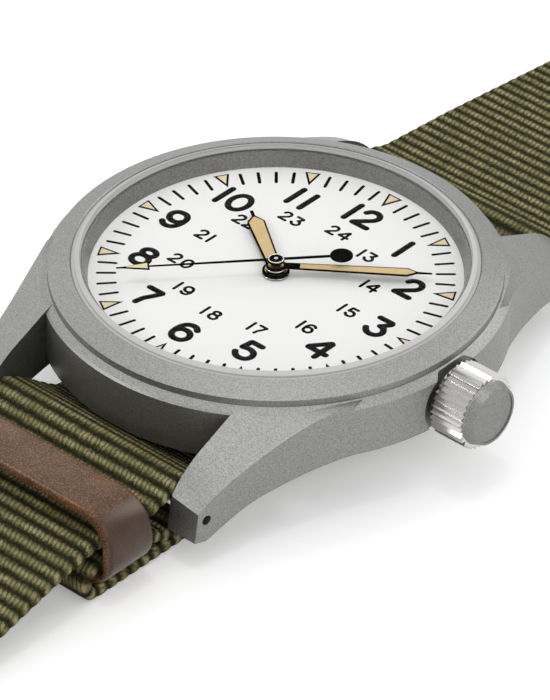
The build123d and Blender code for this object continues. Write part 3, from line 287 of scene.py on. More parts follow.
# How far a rib and a stitch stray, as shares of their pitch, and the size of the noise that moves them
RIB_SWAY_SHARE, BEAD_SWAY_SHARE = 0.07, 0.14
SWAY_SIZE = 0.45 * MM
# A row's stitches are shifted against the last row's and slant across the rib, as shares of a stitch
ROW_SHIFT_SHARE, SLANT_SHARE = 0.37, 0.9
# The weave's height: a rib's sharpness, how low it is between two stitches, and what the fibres add to it
RIB_SHARPNESS = 1.6
STITCH_LOW_SHARE = 0.5
FIBRE_SIZE = 0.1 * MM
FIBRE_HEIGHT_SHARE, FIBRE_TONE_SHARE = 0.5, 0.25
WEAVE_RELIEF = 0.22 * MM
# The heights over which the painted shade deepens within the valleys, and over which the tone goes from
# painted shade in the valleys to painted light on the crests
SHADED_VALLEY_RANGE, LIT_CREST_RANGE = (0.0, 0.45), (0.4, 1.05)
PATCH_SIZE = 1.6 * MM


def webbing():
    """Ribbed webbing: each rib is a row of slanting stitches, with painted light on its crest and painted
    shade in its valleys.
    """
    s = Shader("webbing_olive", linear(95, 90, 55), roughness=0.9, specular=0.15)
    weave = s.axes(s.node("ShaderNodeUVMap", uv_map="weave").outputs[0])
    wander = s.noise(SWAY_SIZE, detail=3.0)
    rib_row = s.math("ADD", weave["Y"], s.sway(wander, RIB_SWAY_SHARE))
    rib = s.math("ABSOLUTE", s.math("SINE", s.math("MULTIPLY", rib_row, math.pi)))
    row = s.math("FLOOR", rib_row)
    along_row = s.math("MULTIPLY", s.math("SUBTRACT", rib_row, row), SLANT_SHARE)
    shift = s.math("ADD", s.math("MULTIPLY", row, ROW_SHIFT_SHARE), along_row)
    across = s.math("ADD", s.math("MULTIPLY", weave["X"], WEAVE_RIB / WEAVE_BEAD), shift)
    across = s.math("ADD", across, s.sway(wander, BEAD_SWAY_SHARE))
    bead = s.math("ABSOLUTE", s.math("SINE", s.math("MULTIPLY", across, math.pi)))
    stitch = s.spread(bead, 0.0, 1.0, STITCH_LOW_SHARE, 1.0)
    height = s.math("MULTIPLY", s.math("POWER", rib, RIB_SHARPNESS), stitch)
    fibre = s.noise(FIBRE_SIZE, detail=5.0)
    patch = s.noise(PATCH_SIZE, detail=4.0)
    # The tone follows the weave's height: painted shade low in the valleys and between stitches, painted
    # light on the crests
    shade = s.math("ADD", height, s.sway(fibre, FIBRE_TONE_SHARE))
    lit_crest = s.mix(s.spread(patch, *WIDE), linear(188, 178, 135), linear(128, 121, 79))
    shaded_valley = s.mix(s.spread(shade, *SHADED_VALLEY_RANGE), linear(22, 22, 8), linear(80, 76, 44))
    s.colour(s.mix(s.spread(shade, *LIT_CREST_RANGE), shaded_valley, lit_crest))
    s.bump(s.math("ADD", height, s.math("MULTIPLY", fibre, FIBRE_HEIGHT_SHARE)), WEAVE_RELIEF)
    return s.material


LEATHER_GRAIN = 0.14 * MM
LEATHER_RELIEF = 0.014 * MM
LEATHER_ROUGH_RANGE = (0.2, 0.32)
LEATHER_DARK_SHARE = 0.5
# The part of the grain that shows as flecks, and how far round a bend the burnish and the painted shade on
# the sides grow
FLECK_RANGE = (0.5, 0.85)
BURNISH_AND_SHADE_RANGE = (0.2, 0.8)


def leather():
    """Waxed leather: a fine pebble with light flecks, darker patches, a shine, and bends darkened by burnish
    and by painted shade on the sides that face along X.
    """
    brown = linear(98, 65, 38)
    dark = toned(brown, LEATHER_DARK_SHARE)
    s = Shader("leather_brown", brown, roughness=0.3, specular=0.32)
    grain = s.noise(LEATHER_GRAIN, detail=3.0)
    patch = s.noise(PATCH_SIZE, detail=4.0)
    base = s.mix(s.spread(patch, *NARROW), dark, brown)
    worn = s.mix(s.spread(grain, *FLECK_RANGE), base, linear(168, 132, 99))
    # Darker where the leather faces along X: burnish at the bends, and painted shade on the keeper's sides
    burnish_and_shade = s.mix(s.spread(patch, *NARROW), dark, linear(56, 34, 22))
    bend = s.math("ABSOLUTE", s.facing("X"))
    s.colour(s.mix(s.spread(bend, *BURNISH_AND_SHADE_RANGE), worn, burnish_and_shade))
    s.rough(s.spread(grain, *NARROW, *LEATHER_ROUGH_RANGE))
    s.bump(s.math("ADD", grain, patch), LEATHER_RELIEF)
    return s.material


CASE_STEEL = blasted_steel("case_steel", linear(140, 140, 138), roughness=0.46, grain=STEEL_GRAIN)
REHAUT_STEEL = blasted_steel("rehaut_steel", linear(136, 136, 135), roughness=0.4, grain=REHAUT_GRAIN)
BRIGHT_STEEL = plain("bright_steel", linear(205, 204, 200), roughness=0.15, metallic=1.0)
CROWN_STEEL = crown_steel()
CRYSTAL = sapphire()
GASKET = plain("gasket_grey", linear(184, 184, 182), roughness=0.5)
DIAL_WHITE = plain("dial_white", linear(246, 246, 244), roughness=0.5, specular=0.2)
PRINT_BLACK = plain("print_black", linear(8, 8, 8), roughness=0.08, specular=0.06)
HAND_BLACK = plain("hand_black", linear(12, 12, 11), roughness=0.35, specular=0.0)
LUME_SAND = lume("lume_sand", linear(240, 226, 189))
LUME_TAN = lume("lume_tan", linear(217, 191, 140))
LUME_PALE = lume("lume_pale", linear(234, 226, 176))
PLATE_STEEL = plain("plate_steel", linear(165, 163, 155), roughness=0.35, metallic=1.0)
BRASS = plain("gear_brass", linear(200, 165, 95), roughness=0.3, metallic=1.0)
RUBY = plain("ruby", linear(160, 20, 60), roughness=0.1)
WEBBING = webbing()
LEATHER = leather()

FINISHES = {
    "case_steel": CASE_STEEL,
    "polished_steel": BRIGHT_STEEL,
    "sapphire": CRYSTAL,
    "gasket_rubber": GASKET,
    "dial_white": DIAL_WHITE,
    "hand_black": HAND_BLACK,
    "movement_plate": PLATE_STEEL,
    "gear_brass": BRASS,
    "ruby": RUBY,
    "webbing": WEBBING,
    "strap_leather": LEATHER,
    "buckle_steel": CASE_STEEL,
}
SPECIAL = {"crown": CROWN_STEEL, "rehaut_ring": REHAUT_STEEL}


# The frame's pieces: their finish, smooth shading and small rounds
def dress(node, finish):
    """Give a piece of the frame its one finish."""
    materials = NODES[node].data.materials
    materials.clear()
    materials.append(finish)


for part in frame["record"]["subparts"]:
    dress(part["node"], SPECIAL.get(part["node"], FINISHES[part["material_slot"]]))

# Faces that meet at more than these angles keep a crisp corner, or get a small round
CORNER_DEG = 35
ROUND_DEG = 25
ROUNDS = {"mid_case": 0.12 * MM, "bezel": 0.06 * MM, "crown": 0.05 * MM}


def smooth_edges(node):
    """Round faces shade smoothly and corners stay crisp."""
    mesh = NODES[node].data
    for face in mesh.polygons:
        face.use_smooth = True
    mesh.set_sharp_from_angle(angle=math.radians(CORNER_DEG))


def soften(node, width):
    """Small rounds on a piece's sharp edges."""
    bevel = NODES[node].modifiers.new("soft_edges", "BEVEL")
    bevel.width = width
    bevel.segments = 2
    bevel.limit_method = "ANGLE"
    bevel.angle_limit = math.radians(ROUND_DEG)
    bevel.harden_normals = True


for node in NODES:
    smooth_edges(node)

for node, width in ROUNDS.items():
    soften(node, width)


# New pieces
def piece(name, verts, faces, finish, body, smooth=False):
    """A mesh piece in the frame's coordinates that rides on a body."""
    mesh = bpy.data.meshes.new(name)
    mesh.from_pydata(verts, [], faces)
    mesh.validate()
    made = bpy.data.objects.new(name, mesh)
    bpy.context.scene.collection.objects.link(made)
    mesh.materials.append(finish)
    for face in mesh.polygons:
        face.use_smooth = smooth
    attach(made, body)
    return made


# Steps round each end of a line
CAP_STEPS = 6
# Each ring of a domed line: its share of the width, and of the height
DOME_SHARES = ((1.0, 0.3), (0.7, 0.8), (0.3, 1.0))


class Layer:
    """Flat shapes of one thickness at one height, gathered into one piece."""

    def __init__(self, low, thick):
        self.low = low
        self.high = low + thick
        self.verts = []
        self.faces = []

    def plate(self, outline):
        """A thin plate from an outline in plan, anticlockwise, in metres."""
        n = len(outline)
        start = len(self.verts)
        self.verts += [(x, y, self.low) for x, y in outline] + [(x, y, self.high) for x, y in outline]
        self.faces.append([start + n + i for i in range(n)])
        self.faces.append([start + i for i in reversed(range(n))])
        for i in range(n):
            j = (i + 1) % n
            self.faces.append([start + i, start + j, start + n + j, start + n + i])

    def ring(self, points, half):
        """The outline of a line with round ends."""
        normals = []
        for i in range(len(points)):
            a = points[max(i - 1, 0)]
            b = points[min(i + 1, len(points) - 1)]
            way = Vector((b[0] - a[0], b[1] - a[1])).normalized()
            normals.append(Vector((-way.y, way.x)))
        right = [(p[0] - n.x * half, p[1] - n.y * half) for p, n in zip(points, normals)]
        left = [(p[0] + n.x * half, p[1] + n.y * half) for p, n in zip(points, normals)]

        def cap(centre, normal, sign):
            base = math.atan2(normal.y * sign, normal.x * sign)
            turns = [base + math.pi * k / CAP_STEPS for k in range(1, CAP_STEPS)]
            return [(centre[0] + half * math.cos(a), centre[1] + half * math.sin(a)) for a in turns]

        return right + cap(points[-1], normals[-1], -1) + left[::-1] + cap(points[0], normals[0], 1)

    def stroke(self, points, width):
        """A line of one width with round ends, and a dome across it."""
        n = len(points)
        start = len(self.verts)
        foot = self.ring(points, width / 2)
        count = len(foot)
        rise = self.high - self.low
        levels = [(foot, self.low)]
        levels += [(self.ring(points, width / 2 * share), self.low + rise * up) for share, up in DOME_SHARES]
        for ring, z in levels:
            self.verts += [(x, y, z) for x, y in ring]
        # The top and the foot are strips across the line, with one face for each round end
        first_left = n + CAP_STEPS - 1
        strips = []
        for i in range(n - 1):
            j = first_left + (n - 1 - i)
            strips.append([i, i + 1, j - 1, j])
        strips.append([n - 1] + list(range(n, n + CAP_STEPS - 1)) + [first_left])
        strips.append([first_left + n - 1] + list(range(first_left + n, count)) + [0])
        top = start + count * (len(levels) - 1)
        self.faces += [[top + k for k in f] for f in strips]
        self.faces += [[start + k for k in reversed(f)] for f in strips]
        for level in range(len(levels) - 1):
            base = start + count * level
            for i in range(count):
                j = (i + 1) % count
                self.faces.append([base + i, base + j, base + count + j, base + count + i])

    def build(self, name, finish, body, smooth=False):
        """Make the one piece from all that was drawn."""
        piece(name, self.verts, self.faces, finish, body, smooth)


# Outlines and lines in plan
def spline(p, q, r, s, t):
    """The value at t between q and r, on a smooth curve through four values."""
    slope = (r - p) * t
    square = (2 * p - 5 * q + 4 * r - s) * t * t
    cube = (3 * q - p - 3 * r + s) * t ** 3
    return 0.5 * (2 * q + slope + square + cube)


def curve_through(points, steps=7):
    """A smooth line through three or more points."""
    padded = [points[0]] + list(points) + [points[-1]]
    result = []
    for corners in zip(padded, padded[1:], padded[2:], padded[3:]):
        for k in range(steps):
            result.append(tuple(spline(*values, k / steps) for values in zip(*corners)))
    return result + [points[-1]]


def oval(x, y, rx, ry, steps=32):
    """A closed oval, as a line that ends where it starts."""
    return [
        (x + rx * math.cos(2 * math.pi * i / steps), y + ry * math.sin(2 * math.pi * i / steps))
        for i in range(steps + 1)
    ]


def turned(points, clock_deg):
    """Points drawn towards 12 o'clock, turned to a clock angle."""
    a = -math.radians(clock_deg)
    return [(x * math.cos(a) - y * math.sin(a), x * math.sin(a) + y * math.cos(a)) for x, y in points]


def pointer(half_widths):
    """The outline of a shape towards 12 o'clock, from its half widths at places on it, in millimetres."""
    right = [(half * MM, y * MM) for y, half in half_widths]
    left = [(-half * MM, y * MM) for y, half in reversed(half_widths)]
    return right + left


# Digits: each is a set of strokes, one unit tall between the middles of its lines
SIX = (
    (0.31, 0.86), (0.17, 0.97), (0.0, 1.0), (-0.2, 0.92), (-0.32, 0.72), (-0.36, 0.45), (-0.32, 0.2),
    (-0.18, 0.04), (0.0, 0.0), (0.23, 0.07), (0.35, 0.3), (0.25, 0.54), (0.02, 0.63), (-0.2, 0.57),
    (-0.34, 0.38),
)
DIGITS = {
    "0": [oval(0, 0.5, 0.37, 0.5)],
    "1": [[(0, 0), (0, 1)]],
    "2": [
        curve_through([(-0.31, 0.77), (-0.2, 0.93), (0.0, 1.0), (0.2, 0.93), (0.29, 0.74), (0.22, 0.54)]),
        [(0.22, 0.54), (-0.33, 0.02)],
        [(-0.33, 0.0), (0.34, 0.0)],
    ],
    "3": [
        [(-0.33, 1.0), (0.22, 1.0)],
        curve_through([(0.2, 1.0), (0.25, 0.9), (0.02, 0.6)]),
        curve_through([
            (0.0, 0.6), (0.2, 0.54), (0.34, 0.3), (0.23, 0.08), (0.0, 0.0), (-0.2, 0.06), (-0.35, 0.22),
        ]),
    ],
    "4": [
        [(-0.38, 0.38), (0.13, 1.0)],
        [(0.19, 0.97), (0.19, 0.0)],
        [(-0.38, 0.33), (0.42, 0.33)],
    ],
    "5": [
        [(-0.24, 1.0), (0.24, 1.0)],
        [(-0.25, 0.99), (-0.31, 0.57)],
        curve_through([
            (-0.3, 0.56), (-0.02, 0.62), (0.24, 0.53), (0.34, 0.3), (0.24, 0.08), (0.0, 0.0),
            (-0.19, 0.05), (-0.34, 0.2),
        ]),
    ],
    "6": [curve_through(SIX)],
    "7": [
        [(-0.32, 1.0), (0.28, 1.0)],
        curve_through([(0.3, 0.97), (0.12, 0.62), (-0.04, 0.33), (-0.11, 0.0)]),
    ],
    "8": [oval(0, 0.785, 0.28, 0.215), oval(0, 0.285, 0.34, 0.285)],
    "9": [curve_through([(-x, 1 - y) for x, y in SIX])],
}

# Print on the dial: each digit's middle, in millimetres from the dial's middle
LARGE = (
    ("1", -1.23, 10.68), ("2", 0.44, 10.68), ("1", 5.33, 9.4), ("2", 9.28, 5.7), ("3", 10.88, 0.02),
    ("4", 9.35, -5.22), ("5", 5.4, -9.25), ("6", 0.0, -10.78), ("7", -5.45, -9.25), ("8", -9.4, -5.4),
    ("9", -11.12, 0.1), ("1", -10.58, 5.38), ("0", -8.85, 5.38), ("1", -6.18, 9.22), ("1", -4.78, 9.22),
)
SMALL = (
    ("2", -0.65, 7.63), ("4", 0.56, 7.63), ("1", 3.18, 6.75), ("3", 4.1, 6.75), ("1", 6.13, 3.75),
    ("4", 7.03, 3.75), ("1", 7.0, 0.08), ("5", 8.0, 0.08), ("1", 6.1, -3.8), ("6", 6.98, -3.8),
    ("1", 3.35, -6.6), ("7", 4.22, -6.6), ("1", -0.78, -7.5), ("8", 0.25, -7.5), ("1", -4.63, -6.5),
    ("9", -3.62, -6.5), ("2", -7.4, -3.8), ("0", -6.15, -3.8), ("2", -8.08, 0.08), ("1", -7.15, 0.08),
    ("2", -7.28, 3.7), ("2", -6.2, 3.7), ("2", -4.8, 6.55), ("3", -3.6, 6.55),
)
LARGE_HEIGHT, LARGE_LINE = 2.76 * MM, 0.55 * MM
SMALL_HEIGHT, SMALL_LINE = 1.35 * MM, 0.27 * MM
TICK_IN, TICK_OUT, TICK_LINE = 12.9 * MM, 14.28 * MM, 0.28 * MM

# Hour triangles and the luminous triangles on them, in millimetres from the dial's middle
TRIANGLE_IN, TRIANGLE_OUT = 12.74, 14.58
TRIANGLE_HALF, TRIANGLE_HALF_12 = 0.66, 0.72
GLOW_IN, GLOW_OUT = 13.26, 14.43
GLOW_MARGIN = 0.25

PRINT_THICK = 0.012 * MM
NUMERAL_THICK = 0.07 * MM
LUME_THICK = 3 * PRINT_THICK


def write(layer, glyphs, height, line):
    """Draw digits of one height in lines of one width."""
    unit = height - line
    for digit, x, y in glyphs:
        for path in DIGITS[digit]:
            layer.stroke([(x * MM + px * unit, y * MM + (py - 0.5) * unit) for px, py in path], line)


def triangle(half, outer, inner):
    """A triangle that points at the dial's middle."""
    return [(0, inner * MM), (half * MM, outer * MM), (-half * MM, outer * MM)]


def dial_print():
    """The dial's numerals, ticks and triangles."""
    ink = Layer(DIAL_TOP, PRINT_THICK)
    numerals = Layer(DIAL_TOP, NUMERAL_THICK)
    glow = Layer(DIAL_TOP, LUME_THICK)
    write(numerals, LARGE, LARGE_HEIGHT, LARGE_LINE)
    write(ink, SMALL, SMALL_HEIGHT, SMALL_LINE)
    for minute in range(60):
        clock_deg = 6 * minute
        if minute % 5:
            ink.stroke(turned([(0, TICK_IN), (0, TICK_OUT)], clock_deg), TICK_LINE)
            continue
        half = TRIANGLE_HALF_12 if minute == 0 else TRIANGLE_HALF
        ink.plate(turned(triangle(half, TRIANGLE_OUT, TRIANGLE_IN), clock_deg))
        glow.plate(turned(triangle(half - GLOW_MARGIN, GLOW_OUT, GLOW_IN), clock_deg))
    ink.build("dial_print", PRINT_BLACK, "watch_head")
    numerals.build("dial_numerals", PRINT_BLACK, "watch_head", smooth=True)
    glow.build("dial_lume", LUME_SAND, "watch_head")


dial_print()

# The hands' clock angles, and their luminous fills as places along the hand and half widths, in millimetres
HOUR_DEG, MINUTE_DEG, SECONDS_DEG = 304.3, 53.0, 222.1
HOUR_FILL = ((1.2, 0.42), (6.84, 0.59), (7.5, 0.06))
MINUTE_FILL = ((1.95, 0.29), (10.5, 0.39), (11.15, 0.05))
SECONDS_FILL = ((10.3, 0.36), (12.0, 0.04))


def hand_fill(name, node, half_widths, clock_deg, body, finish):
    """Luminous paste on a hand's upper face."""
    layer = Layer(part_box(node)[1][2] - PRINT_THICK, LUME_THICK)
    layer.plate(turned(pointer(half_widths), clock_deg))
    layer.build(name, finish, body)


hand_fill("hour_lume", "hour_hand", HOUR_FILL, HOUR_DEG, "hour_set", LUME_TAN)
hand_fill("minute_lume", "minute_hand", MINUTE_FILL, MINUTE_DEG, "minute_set", LUME_TAN)
hand_fill("seconds_lume", "seconds_hand", SECONDS_FILL, SECONDS_DEG, "seconds_set", LUME_PALE)

RIM_THICK = 0.06 * MM
RIM_STEPS, RIM_SECTION_STEPS = 64, 10
# Each hand's boss rim: its radius, and how far it lies below the hand's top
BOSS_RIMS = (("seconds", 0.6 * MM, 0.0), ("minute", 0.78 * MM, 0.2 * MM), ("hour", 1.06 * MM, 0.28 * MM))


def boss_rim(name, node, body, radius, drop):
    """A thin bright ring round a hand's boss."""
    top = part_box(node)[1][2] - drop
    around, across = RIM_STEPS, RIM_SECTION_STEPS
    verts, faces = [], []
    for i in range(around):
        a = 2 * math.pi * i / around
        n = (i + 1) % around
        for j in range(across):
            b = 2 * math.pi * j / across
            m = (j + 1) % across
            r = radius + RIM_THICK * math.cos(b)
            verts.append((r * math.cos(a), r * math.sin(a), top + RIM_THICK * math.sin(b)))
            faces.append([i * across + j, n * across + j, n * across + m, i * across + m])
    piece(name, verts, faces, BRIGHT_STEEL, body, smooth=True)


for hand, rim_r, rim_drop in BOSS_RIMS:
    boss_rim(f"{hand}_boss_rim", f"{hand}_hand", f"{hand}_set", rim_r, rim_drop)

PIP_R = 0.17 * MM
PIP_THICK = 5 * PRINT_THICK
PIP_STEPS = 20
pip = Layer(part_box("seconds_hand")[1][2] - PRINT_THICK, PIP_THICK)
pip.plate(oval(0, 0, PIP_R, PIP_R, PIP_STEPS)[:-1])
pip.build("seconds_pip", BRIGHT_STEEL, "seconds_set")


# Strap: the routes of the frame's straps, as places along Y and heights in millimetres
MAIN_ROUTE = (
    (-152.0, 0.5), (-51.0, 0.5), (-31.4, 5.25), (-25.6, 4.6),
    (-22.5, 5.55), (-21.3, 5.62), (-19.5, 4.5), (-16.5, 2.2),
    (-15.4, 1.55), (15.4, 1.55),
    (16.5, 2.2), (19.5, 4.5), (21.3, 5.6), (22.5, 5.52),
    (24.2, 4.87), (32.6, 4.23), (47.0, 2.7), (87.65, 2.7),
    (91.28, 3.4), (93.45, 3.4), (93.45, 0.5), (85.0, 0.5),
)
UNDER_ROUTE = ((84.0, 0.5), (-32.2, 0.5), (-32.2, 2.8), (-25.4, 2.8), (-23.9, 1.55), (-21.9, 1.55))

# A bend takes up to this share of its shorter run. It is tight as far out as the strap wraps the spring bars
BEND_RUN_SHARE = 0.47
BEND_TIGHT, BEND_WIDE = 1.6, 30.0
WRAP_REACH = 23.85
BEND_STEP = 0.15
BEND_LEAST_STEPS = 3

# Half the strap's width and half its thickness
STRAP_HALF = 19.8 / 2
HALF_T = 1.0 / 2
# Ribs: their rise, and its share at which the webbing has its plain thickness
RIB_PROUD = 0.09
RIB_PLAIN_SHARE = 0.45
# The power of a rib's curve, which is fuller the lower it is, and the rows of points along one rib's pitch
RIB_POWER = 0.6
RIB_STEPS = 6

# The strap's edges: their round, how far in they lie between two ribs, and how far a rib pushes them out
EDGE_ROUND = 0.38
EDGE_IN = 0.08
EDGE_SWELL = 0.1
EDGE_STEPS = 8
ACROSS_TOP = 40
SECTION_POINTS = 2 * (ACROSS_TOP + EDGE_STEPS)
# The strap's round tip starts at this share of the full width
TIP_SHARE = 0.02


def filleted(points):
    """A route through points in the Y-Z plane with round bends, sampled closely."""
    route = [Vector(points[0])]
    for a, b, c in zip(points, points[1:], points[2:]):
        a, b, c = Vector(a), Vector(b), Vector(c)
        into, out = (b - a), (c - b)
        turn = into.angle(out)
        limit = BEND_TIGHT if abs(b.x) < WRAP_REACH else BEND_WIDE
        bend = min(BEND_RUN_SHARE * min(into.length, out.length) / math.tan(turn / 2), limit)
        start = b - into.normalized() * (bend * math.tan(turn / 2))
        side = 1 if into.x * out.y - into.y * out.x > 0 else -1
        across = Vector((-into.normalized().y, into.normalized().x)) * side
        centre = start + across * bend
        arm = start - centre
        steps = max(BEND_LEAST_STEPS, int(turn * bend / BEND_STEP))
        for k in range(steps + 1):
            angle = side * turn * k / steps
            spun = Vector((arm.x * math.cos(angle) - arm.y * math.sin(angle),
                           arm.x * math.sin(angle) + arm.y * math.cos(angle)))
            route.append(centre + spun)
    route.append(Vector(points[-1]))
    return route


def even_steps(route, step):
    """The route's points at even steps along it, each with its distance from the start and its direction."""
    lengths = [0.0]
    for a, b in zip(route, route[1:]):
        lengths.append(lengths[-1] + (b - a).length)
    total = lengths[-1]
    count = int(round(total / step))
    places = []
    k = 0
    for i in range(count + 1):
        s = total * i / count
        while k < len(route) - 2 and lengths[k + 1] < s:
            k += 1
        share = (s - lengths[k]) / max(lengths[k + 1] - lengths[k], TINY)
        places.append((s, route[k].lerp(route[k + 1], min(max(share, 0), 1))))
    result = []
    for i, (s, p) in enumerate(places):
        way = places[min(i + 1, count)][1] - places[max(i - 1, 0)][1]
        result.append((s, p, way.normalized()))
    return result


def strap_section(rib, upward):
    """One closed cross-section of webbing, in millimetres.

    The ribs on the side that faces down are pressed in, so that they stay above the table.
    """
    proud = HALF_T + RIB_PROUD * (rib - RIB_PLAIN_SHARE)
    pressed = RIB_PROUD * (1 - RIB_PLAIN_SHARE)
    face = proud - pressed * max(0, -upward)
    foot = proud - pressed * max(0, upward)
    inner = STRAP_HALF - EDGE_IN + EDGE_SWELL * rib - EDGE_ROUND
    section = []
    for side, first, second in ((1, face, foot), (-1, foot, face)):
        for i in range(ACROSS_TOP + 1):
            section.append((side * (-inner + 2 * inner * i / ACROSS_TOP), side * first))
        for k in range(1, EDGE_STEPS):
            a = side * math.pi / 2 - math.pi * k / EDGE_STEPS
            height = first if k < EDGE_STEPS / 2 else second
            section.append((side * inner + EDGE_ROUND * math.cos(a), height * math.sin(a)))
    return section


class Hole:
    """A round hole through the strap: its place along Y and its radius."""

    def __init__(self, y, radius):
        self.y = y
        self.radius = radius

    def holds(self, x, y):
        return math.hypot(x, y - self.y) < self.radius

    def edge(self, x, y):
        """A nearby point, moved to the hole's rim."""
        share = self.radius / max(math.hypot(x, y - self.y), TINY)
        return x * share, self.y + (y - self.y) * share


class Slot:
    """A slot along the middle of the strap, from a place along Y to where the strap turns back."""

    def __init__(self, start, half):
        self.start = start
        self.half = half

    def holds(self, x, y):
        return abs(x) < self.half and y > self.start

    def edge(self, x, y):
        """A point close to one of the slot's long sides, moved onto it."""
        if abs(abs(x) - self.half) < STRAP_HALF / ACROSS_TOP:
            x = math.copysign(self.half, x)
        return x, y


def punched(verts, faces, spans, cuts):
    """Take the cells inside the cuts out of a strap's two faces, and wall each cut between the faces.

    A cell lies between two rows of the strap and two points of its section. Its partner lies below it.
    """
    count = SECTION_POINTS
    # Point j of a section lies above point (under - j)
    under = 2 * ACROSS_TOP + EDGE_STEPS
    taken = {}
    for i in range(spans):
        for j in range(ACROSS_TOP):
            cell = [verts[i * count + j], verts[(i + 1) * count + j + 1]]
            x, y = (sum(v[a] for v in cell) / 2 / MM for a in (0, 1))
            for cut in cuts:
                if cut.holds(x, y):
                    taken[(i, j)] = cut
    gone = {i * count + j for i, j in taken} | {i * count + under - j - 1 for i, j in taken}
    kept = [face for face in faces[:spans * count] if face[0] not in gone] + faces[spans * count:]
    moved = set()
    for (i, j), cut in taken.items():
        corners = ((i, j), (i, j + 1), (i + 1, j + 1), (i + 1, j))
        beside = ((i - 1, j), (i, j + 1), (i + 1, j), (i, j - 1))
        for k in range(4):
            if beside[k] in taken:
                continue
            (i0, j0), (i1, j1) = corners[k], corners[(k + 1) % 4]
            upper = [i0 * count + j0, i1 * count + j1]
            lower = [i1 * count + under - j1, i0 * count + under - j0]
            kept.append(upper + lower)
            moved.update(((i0, j0, cut), (i1, j1, cut)))
    for i, j, cut in moved:
        for n in (i * count + j, i * count + under - j):
            x, y, z = verts[n]
            x, y = cut.edge(x / MM, y / MM)
            verts[n] = (x * MM, y * MM, z)
    return kept


def without_loose(verts, faces, weave):
    """The same shape without the points that no face uses, and the weave's coordinates to match."""
    used = sorted({n for face in faces for n in face})
    place = {n: k for k, n in enumerate(used)}
    return [verts[n] for n in used], [[place[n] for n in face] for face in faces], [weave[n] for n in used]


def strap(name, node, points, tip=0.0, cuts=()):
    """A webbing strap along a route, with ribs in its shape and beads in its finish."""
    pitch = WEAVE_RIB / MM
    count = SECTION_POINTS
    rows = even_steps(filleted(points), pitch / RIB_STEPS)
    spans = len(rows) - 1
    verts, faces, weave = [], [], []
    for s, centre, way in rows:
        rib = abs(math.sin(math.pi * s / pitch)) ** RIB_POWER
        up = Vector((-way.y, way.x))
        narrow = 1.0
        if s < tip:
            narrow = max(math.sqrt(max(1 - ((tip - s) / tip) ** 2, 0)), TIP_SHARE)
        for x, z in strap_section(rib, up.y):
            spot = centre + up * z
            verts.append((x * narrow * MM, spot.x * MM, spot.y * MM))
            weave.append((x * narrow * MM / WEAVE_RIB, s / pitch))
    for i in range(spans):
        for j in range(count):
            k = (j + 1) % count
            faces.append([i * count + j, i * count + k, (i + 1) * count + k, (i + 1) * count + j])
    faces.append(list(range(count))[::-1])
    faces.append([spans * count + j for j in range(count)])
    faces = punched(verts, faces, spans, cuts)
    verts, faces, weave = without_loose(verts, faces, weave)
    made = piece(name, verts, faces, WEBBING, "watch_head", smooth=True)
    layer = made.data.uv_layers.new(name="weave")
    for loop in made.data.loops:
        layer.data[loop.index].uv = weave[loop.vertex_index]
    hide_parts(node)


# Holes in the tail, and the tongue's slot at the buckle
HOLE_COUNT, HOLE_R = 9, 1.0
HOLE_FIRST, HOLE_PITCH = -128.0, 7.0
SLOT_START, SLOT_HALF = 88.2, 1.1
CUTS = [Hole(HOLE_FIRST + HOLE_PITCH * i, HOLE_R) for i in range(HOLE_COUNT)] + [Slot(SLOT_START, SLOT_HALF)]

strap("strap_main_webbing", "strap_main", MAIN_ROUTE, tip=STRAP_HALF, cuts=CUTS)
strap("strap_under_webbing", "strap_under", UNDER_ROUTE)


# Keepers: bands of leather with soft edges, in millimetres. Their thickness and the round of their edges
LEATHER_T = 1.1
LEATHER_SOFT = 0.4
SOFT_STEPS = 4
CORNER_STEPS = 8
# A keeper's inside: its half width, its foot's height and the size of its corners at the foot
KEEPER_ROOM = 0.3
KEEPER_HALF = STRAP_HALF + KEEPER_ROOM
KEEPER_LOW = 2.15
KEEPER_FOOT = 0.5


def rounded_loop(half_w, low, high, top, foot):
    """A rounded rectangle in the X-Z plane, anticlockwise seen from -Y, with two corner sizes."""
    result = []
    for cx, cz, start, corner in (
        (half_w - top, high - top, 0, top), (-half_w + top, high - top, 90, top),
        (-half_w + foot, low + foot, 180, foot), (half_w - foot, low + foot, 270, foot),
    ):
        for k in range(CORNER_STEPS + 1):
            a = math.radians(start + 90 * k / CORNER_STEPS)
            result.append((cx + corner * math.cos(a), cz + corner * math.sin(a)))
    return result


def band_section(y0, y1):
    """The section across a band: front edge, outer face, back edge and inner face, with round corners."""
    soft, outer = LEATHER_SOFT, LEATHER_T - LEATHER_SOFT
    section = []
    for y, out, start in ((y0 + soft, outer, 180), (y1 - soft, outer, 90), (y1 - soft, soft, 0),
                          (y0 + soft, soft, 270)):
        for k in range(SOFT_STEPS + 1):
            a = math.radians(start - 90 * k / SOFT_STEPS)
            section.append((y + soft * math.cos(a), out + soft * math.sin(a)))
    return section


def keeper(name, node, body, highs, top, foot_out):
    """A leather loop with rounded edges, between the Y limits of its node.

    Highs are the heights that its inside reaches in front and at the back, and top is the size of its inner
    corners up there. At the foot, foot_out is the size of its outer corners.
    """
    y0, y1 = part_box(node)[0][1] / MM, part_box(node)[1][1] / MM
    loops = []
    for y, out in band_section(y0, y1):
        high = highs[0] + (highs[1] - highs[0]) * (y - y0) / (y1 - y0)
        foot = KEEPER_FOOT + (foot_out - KEEPER_FOOT) * out / LEATHER_T
        loops.append((y, rounded_loop(KEEPER_HALF + out, KEEPER_LOW - out, high + out, top + out, foot)))
    around, across = len(loops[0][1]), len(loops)
    verts, faces = [], []
    for i in range(around):
        n = (i + 1) % around
        for j, (y, loop) in enumerate(loops):
            m = (j + 1) % across
            x, z = loop[i]
            verts.append((x * MM, y * MM, z * MM))
            faces.append([i * across + j, i * across + m, n * across + m, n * across + j])
    made = piece(name, verts, faces, LEATHER, body, smooth=True)
    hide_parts(node)


